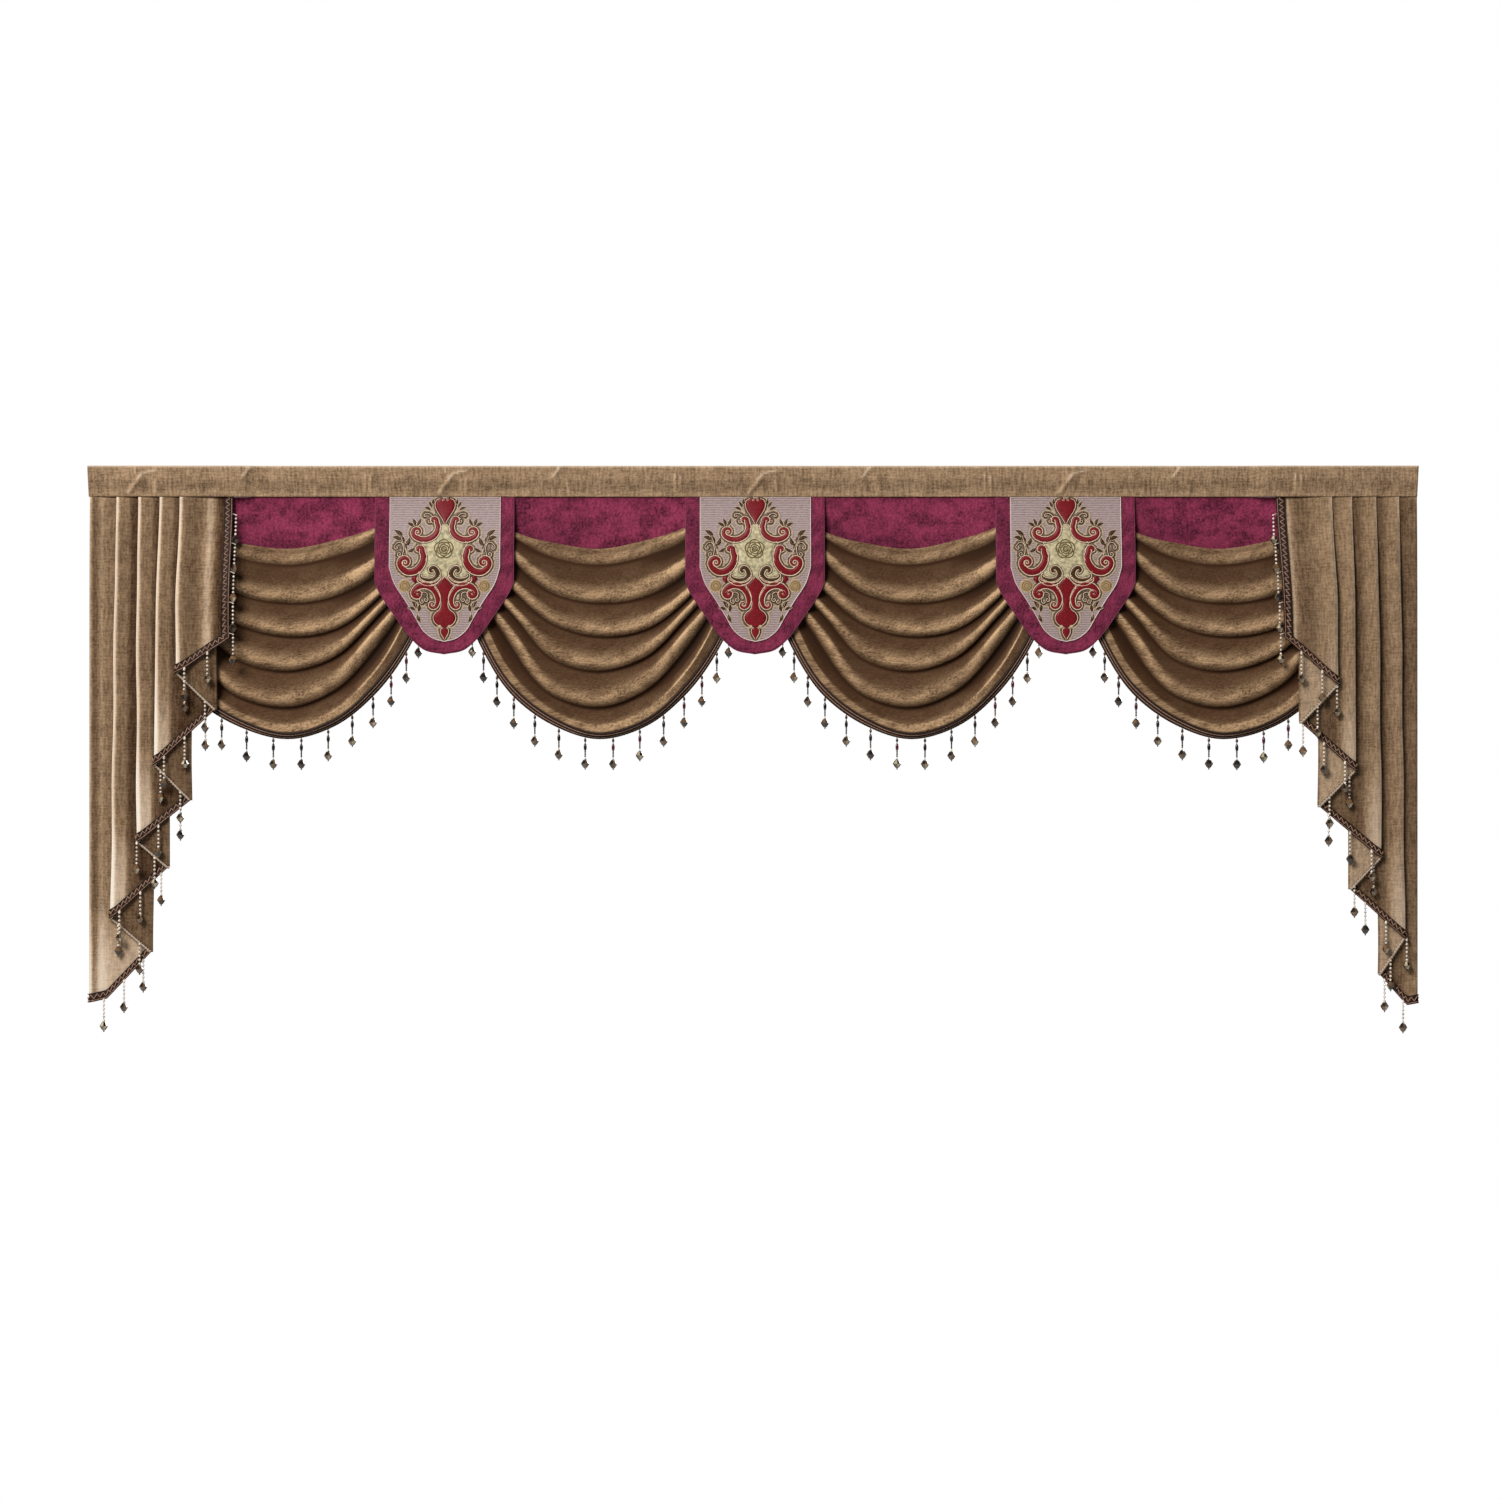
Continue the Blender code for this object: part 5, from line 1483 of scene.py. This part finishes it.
def embroider_leaf(needle, leaf, turned):
    """A bent leaf, narrow at its foot and its tip, with a fine cord along each edge."""
    angle = math.radians(leaf.angle)
    t = np.linspace(0.0, 1.0, 9)
    reach = LEAF_STRETCH * leaf.length * t
    bend = 0.14 * leaf.length * np.sin(math.pi * t)
    x = leaf.x + reach * math.cos(angle) - bend * math.sin(angle)
    drop = leaf.drop - reach * math.sin(angle) - bend * math.cos(angle)
    line = turned(np.stack([x, drop], axis=1))
    normals = side_normals(line)
    half = (0.02 + 0.24 * np.sin(math.pi * t**0.85))[:, None] * leaf.length
    needle.ribbon(line + normals * half, line - normals * half, LEAF, 0.8, across=4)
    for way in (1.0, -1.0):
        needle.cord(line + way * normals * (half + 0.7), GOLD_CORD, 0.55, 0.4)


def embroider_rose(needle):
    """Overlapping petals round a coiled heart, drawn in fine cord."""
    x, drop, radius = ROSE
    t = np.linspace(0.0, 1.0, 10)
    for ring, petals, turned in ROSE_RINGS:
        reach = radius * ring * (0.80 + 0.22 * np.sin(math.pi * t) ** 0.6)
        for petal in range(petals):
            angle = turned + math.tau * petal / petals + (math.tau / petals * 1.12) * t
            line = np.stack([x + reach * np.cos(angle), drop + reach * np.sin(angle)], axis=1)
            needle.cord(line, OLIVE_CORD, 1.25, 1.1)
    needle.cord(ring_of(x, drop, radius * 0.22, 1.6, 24, 0.9), OLIVE_CORD, 0.7, 1.2)


def away_from(marks, grid):
    """How far each point of a tab's face lies from the nearest stroke, in mm."""
    points = np.concatenate(marks) + (0.0, MOTIF_DROP_MM)
    flat = np.stack([grid[..., 0], -grid[..., 2]], axis=-1).reshape(-1, 2) / MM
    nearest = [np.hypot(*(points - point).T).min() for point in flat]
    return np.array(nearest).reshape(grid.shape[:2])


# ---------------------------------------------------------------------- operators


class VALANCE_OT_materials(bpy.types.Operator):
    """Make the cloth, thread and glass finishes"""

    bl_idname = "valance.materials"
    bl_label = "Materials"

    def execute(self, context):
        make_materials()
        return {"FINISHED"}


class VALANCE_OT_heading(bpy.types.Operator):
    """Make the doubled heading band"""

    bl_idname = "valance.heading"
    bl_label = "Heading"

    def execute(self, context):
        grid, worn = heading_grid()
        band = cloth_sheet("heading_band", grid, cloth(), MATERIALS["heading"], worn, True)
        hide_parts("heading")
        return {"FINISHED"}


class VALANCE_OT_panel(bpy.types.Operator):
    """Make the wine velvet panel behind the swags"""

    bl_idname = "valance.panel"
    bl_label = "Back panel"

    def execute(self, context):
        grid, worn = panel_grid()
        panel = cloth_sheet("wine_panel", grid, cloth(), MATERIALS["wine"], worn)
        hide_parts("back_panel")
        return {"FINISHED"}


class VALANCE_OT_swags(bpy.types.Operator):
    """Make the four swags with their braid and beaded drops"""

    bl_idname = "valance.swags"
    bl_label = "Swags"

    def execute(self, context):
        prototypes = drop_prototypes(SWAG_BEADS)
        for number, middle in enumerate(SWAG_MIDDLES, 1):
            left = SWAG_OUTER_STRETCH if number == 1 else 1.0
            right = SWAG_OUTER_STRETCH if number == len(SWAG_MIDDLES) else 1.0
            grid, brushed = swag_grid(middle, left, right)
            finish = MATERIALS["swag"]
            swag = cloth_sheet(f"swag_cloth_{number}", grid, cloth(), finish, brushed)
            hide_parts(f"swag_{number}")
            normals = face_normals(grid)[-1 - SWAG_HEM_ROWS :]
            strip = grid[-1 - SWAG_HEM_ROWS :] + normals * BRAID_LIFT
            trim = make_trim(f"swag_braid_{number}", strip, normals, f"swag_trim_{number}", False)
            places = swag_drop_places(strip, normals, number)
            trim.append(drops_object(f"swag_drops_{number}", places, number, prototypes))
        bpy.data.batch_remove(prototypes)
        return {"FINISHED"}


class VALANCE_OT_tabs(bpy.types.Operator):
    """Make the three pointed tabs with their embroidery and piping"""

    bl_idname = "valance.tabs"
    bl_label = "Tabs"

    def execute(self, context):
        needle = embroider()
        face_grid = shield_grid(
            TAB_FRONT_HALF_WIDTH, TAB_FRONT_OUTLINE, TAB_FRONT_FORWARD, FACE_COLUMNS, FACE_ROWS
        )
        away = away_from(needle.marks, face_grid)
        for number in (1, 2, 3):
            middle = TAB_MIDDLE + (number - 2) * PITCH
            shift = np.array([middle + TAB_FRONT_SHIFT, 0.0, 0.0])
            border = shield_grid(TAB_HALF_WIDTH, TAB_OUTLINE, 0.0) + (middle, 0.0, 0.0)
            worn = np.full(border.shape[:2], TAB_TONE_SHARE * WINE_TONE)
            back = cloth_sheet(
                f"tab_border_{number}", border, cloth(), MATERIALS["wine"], worn
            )
            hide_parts(f"tab_back_{number}")
            face = cloth_sheet(
                f"tab_face_{number}", face_grid + shift, cloth(), MATERIALS["ground"], away
            )
            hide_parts(f"tab_front_{number}")
            stitched = needle.bm.copy()
            bmesh.ops.translate(stitched, vec=shift, verts=stitched.verts[:])
            mesh = mesh_from(stitched, f"tab_stitching_{number}")
            shade_smooth(mesh)
            fills = add_piece(mesh.name, mesh, finishes("red", "cream", "leaf", "ochre"))
            thicken(fills, STITCH, -1.0)
            lines = [(points + shift, radius, cord) for points, radius, cord in needle.cords]
            cords = cord_object(
                f"tab_cords_{number}", lines, finishes("cord", "olive cord", "dark cord")
            )
            piping = cord_object(
                f"tab_piping_{number}", tab_piping(middle), finishes("piping", "wine piping")
            )
        needle.bm.free()
        return {"FINISHED"}


class VALANCE_OT_tails(bpy.types.Operator):
    """Make the two pleated tails with their braid and beaded drops"""

    bl_idname = "valance.tails"
    bl_label = "Tails"

    def execute(self, context):
        prototypes = drop_prototypes(TAIL_BEADS)
        for name, pleats, side in (("left", TAIL_LEFT, -1.0), ("right", TAIL_RIGHT, 1.0)):
            grid, worn = tail_grid(pleats, side, settings()[0].pleat_swell)
            tail = cloth_sheet(
                f"tail_cloth_{name}", grid, cloth(), MATERIALS["tail"], worn, True
            )
            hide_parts(f"tail_{name}")
            strip, normals, corner = tail_braid_strip(grid, side)
            strip = strip + normals * BRAID_LIFT
            trim = make_trim(f"tail_braid_{name}", strip, normals, f"tail_trim_{name}", True)
            places = tail_drop_places(strip, normals, corner, side)
            trim.append(drops_object(f"tail_drops_{name}", places, 10 + int(side), prototypes))
        bpy.data.batch_remove(prototypes)
        return {"FINISHED"}


class VALANCE_OT_stage(bpy.types.Operator):
    """Make the floor, the studio light and the camera"""

    bl_idname = "valance.stage"
    bl_label = "Stage"

    def execute(self, context):
        scene = context.scene
        bm = bmesh.new()
        bmesh.ops.create_grid(bm, x_segments=1, y_segments=1, size=1.0)
        matrix = Matrix.Translation((0.0, -0.5, FLOOR_LEVEL)) @ Matrix.Diagonal((*FLOOR_HALF, 1.0, 1.0))
        bmesh.ops.transform(bm, matrix=matrix, verts=bm.verts[:])
        floor = bpy.data.objects.new("floor", mesh_from(bm, "floor"))
        # Matt white paint: it scatters all its light, with a faint cloud where the roller has passed.
        material, tree = new_material("matt white floor", Roughness=0.9)
        cloud = add(tree, "noise", add(tree, "place"), 2.0)
        join(tree, add(tree, "mixed", cloud, linear("#EDEBE8"), linear("#F6F5F3")))
        floor.data.materials.append(material)
        scene.collection.objects.link(floor)

        world = bpy.data.worlds.new("studio")
        world.use_nodes = True
        tree = world.node_tree
        seen = add(tree, "background", (1.0, 1.0, 1.0, 1.0), 1.0)
        fill = add(tree, "background", linear("#FBFBFF"), FILL_STRENGTH)
        both = add(tree, "either", add(tree, "camera ray"), fill, seen)
        tree.links.new(both, tree.nodes["World Output"].inputs["Surface"])
        scene.world = world

        for name, place, aim, size, power in LIGHTS:
            light = bpy.data.lights.new(name, "AREA")
            light.size = size
            light.energy = power
            lamp = bpy.data.objects.new(name, light)
            lamp.location = place
            lamp.rotation_euler = (Vector(aim) - Vector(place)).to_track_quat("-Z", "Y").to_euler()
            lamp.visible_camera = False
            scene.collection.objects.link(lamp)

        lens = bpy.data.cameras.new("camera")
        lens.sensor_width = SENSOR_MM
        lens.lens = SENSOR_MM * CAMERA_DISTANCE / VIEW_WIDTH
        camera = bpy.data.objects.new("camera", lens)
        camera.location = (VIEW_MIDDLE[0], -CAMERA_DISTANCE, VIEW_MIDDLE[1])
        camera.rotation_euler = (math.pi / 2, 0.0, 0.0)
        scene.collection.objects.link(camera)
        scene.camera = camera
        scene.view_settings.view_transform = "Standard"
        return {"FINISHED"}


OPERATORS = (
    VALANCE_OT_materials,
    VALANCE_OT_heading,
    VALANCE_OT_panel,
    VALANCE_OT_swags,
    VALANCE_OT_tabs,
    VALANCE_OT_tails,
    VALANCE_OT_stage,
)


class VALANCE_PT_panel(bpy.types.Panel):
    """Sizes, colours and pieces of the valance"""

    bl_idname = "VALANCE_PT_panel"
    bl_label = "Swag and tail valance"
    bl_space_type = "VIEW_3D"
    bl_region_type = "UI"
    bl_category = "Valance"

    def draw(self, context):
        for group in settings():
            for name in group.bl_rna.properties.keys():
                if name not in ("rna_type", "name"):
                    self.layout.prop(group, name)
        for operator in OPERATORS:
            self.layout.operator(operator.bl_idname)


CLASSES = (ValanceSizes, ValanceColours, *OPERATORS, VALANCE_PT_panel)


def register():
    for one in CLASSES:
        bpy.utils.register_class(one)
    bpy.types.Scene.valance_sizes = PointerProperty(type=ValanceSizes)
    bpy.types.Scene.valance_colours = PointerProperty(type=ValanceColours)


def unregister():
    del bpy.types.Scene.valance_colours
    del bpy.types.Scene.valance_sizes
    for one in reversed(CLASSES):
        bpy.utils.unregister_class(one)


def main():
    register()
    for operator in OPERATORS:
        group, name = operator.bl_idname.split(".")
        getattr(getattr(bpy.ops, group), name)()


if __name__ == "__main__":
    main()
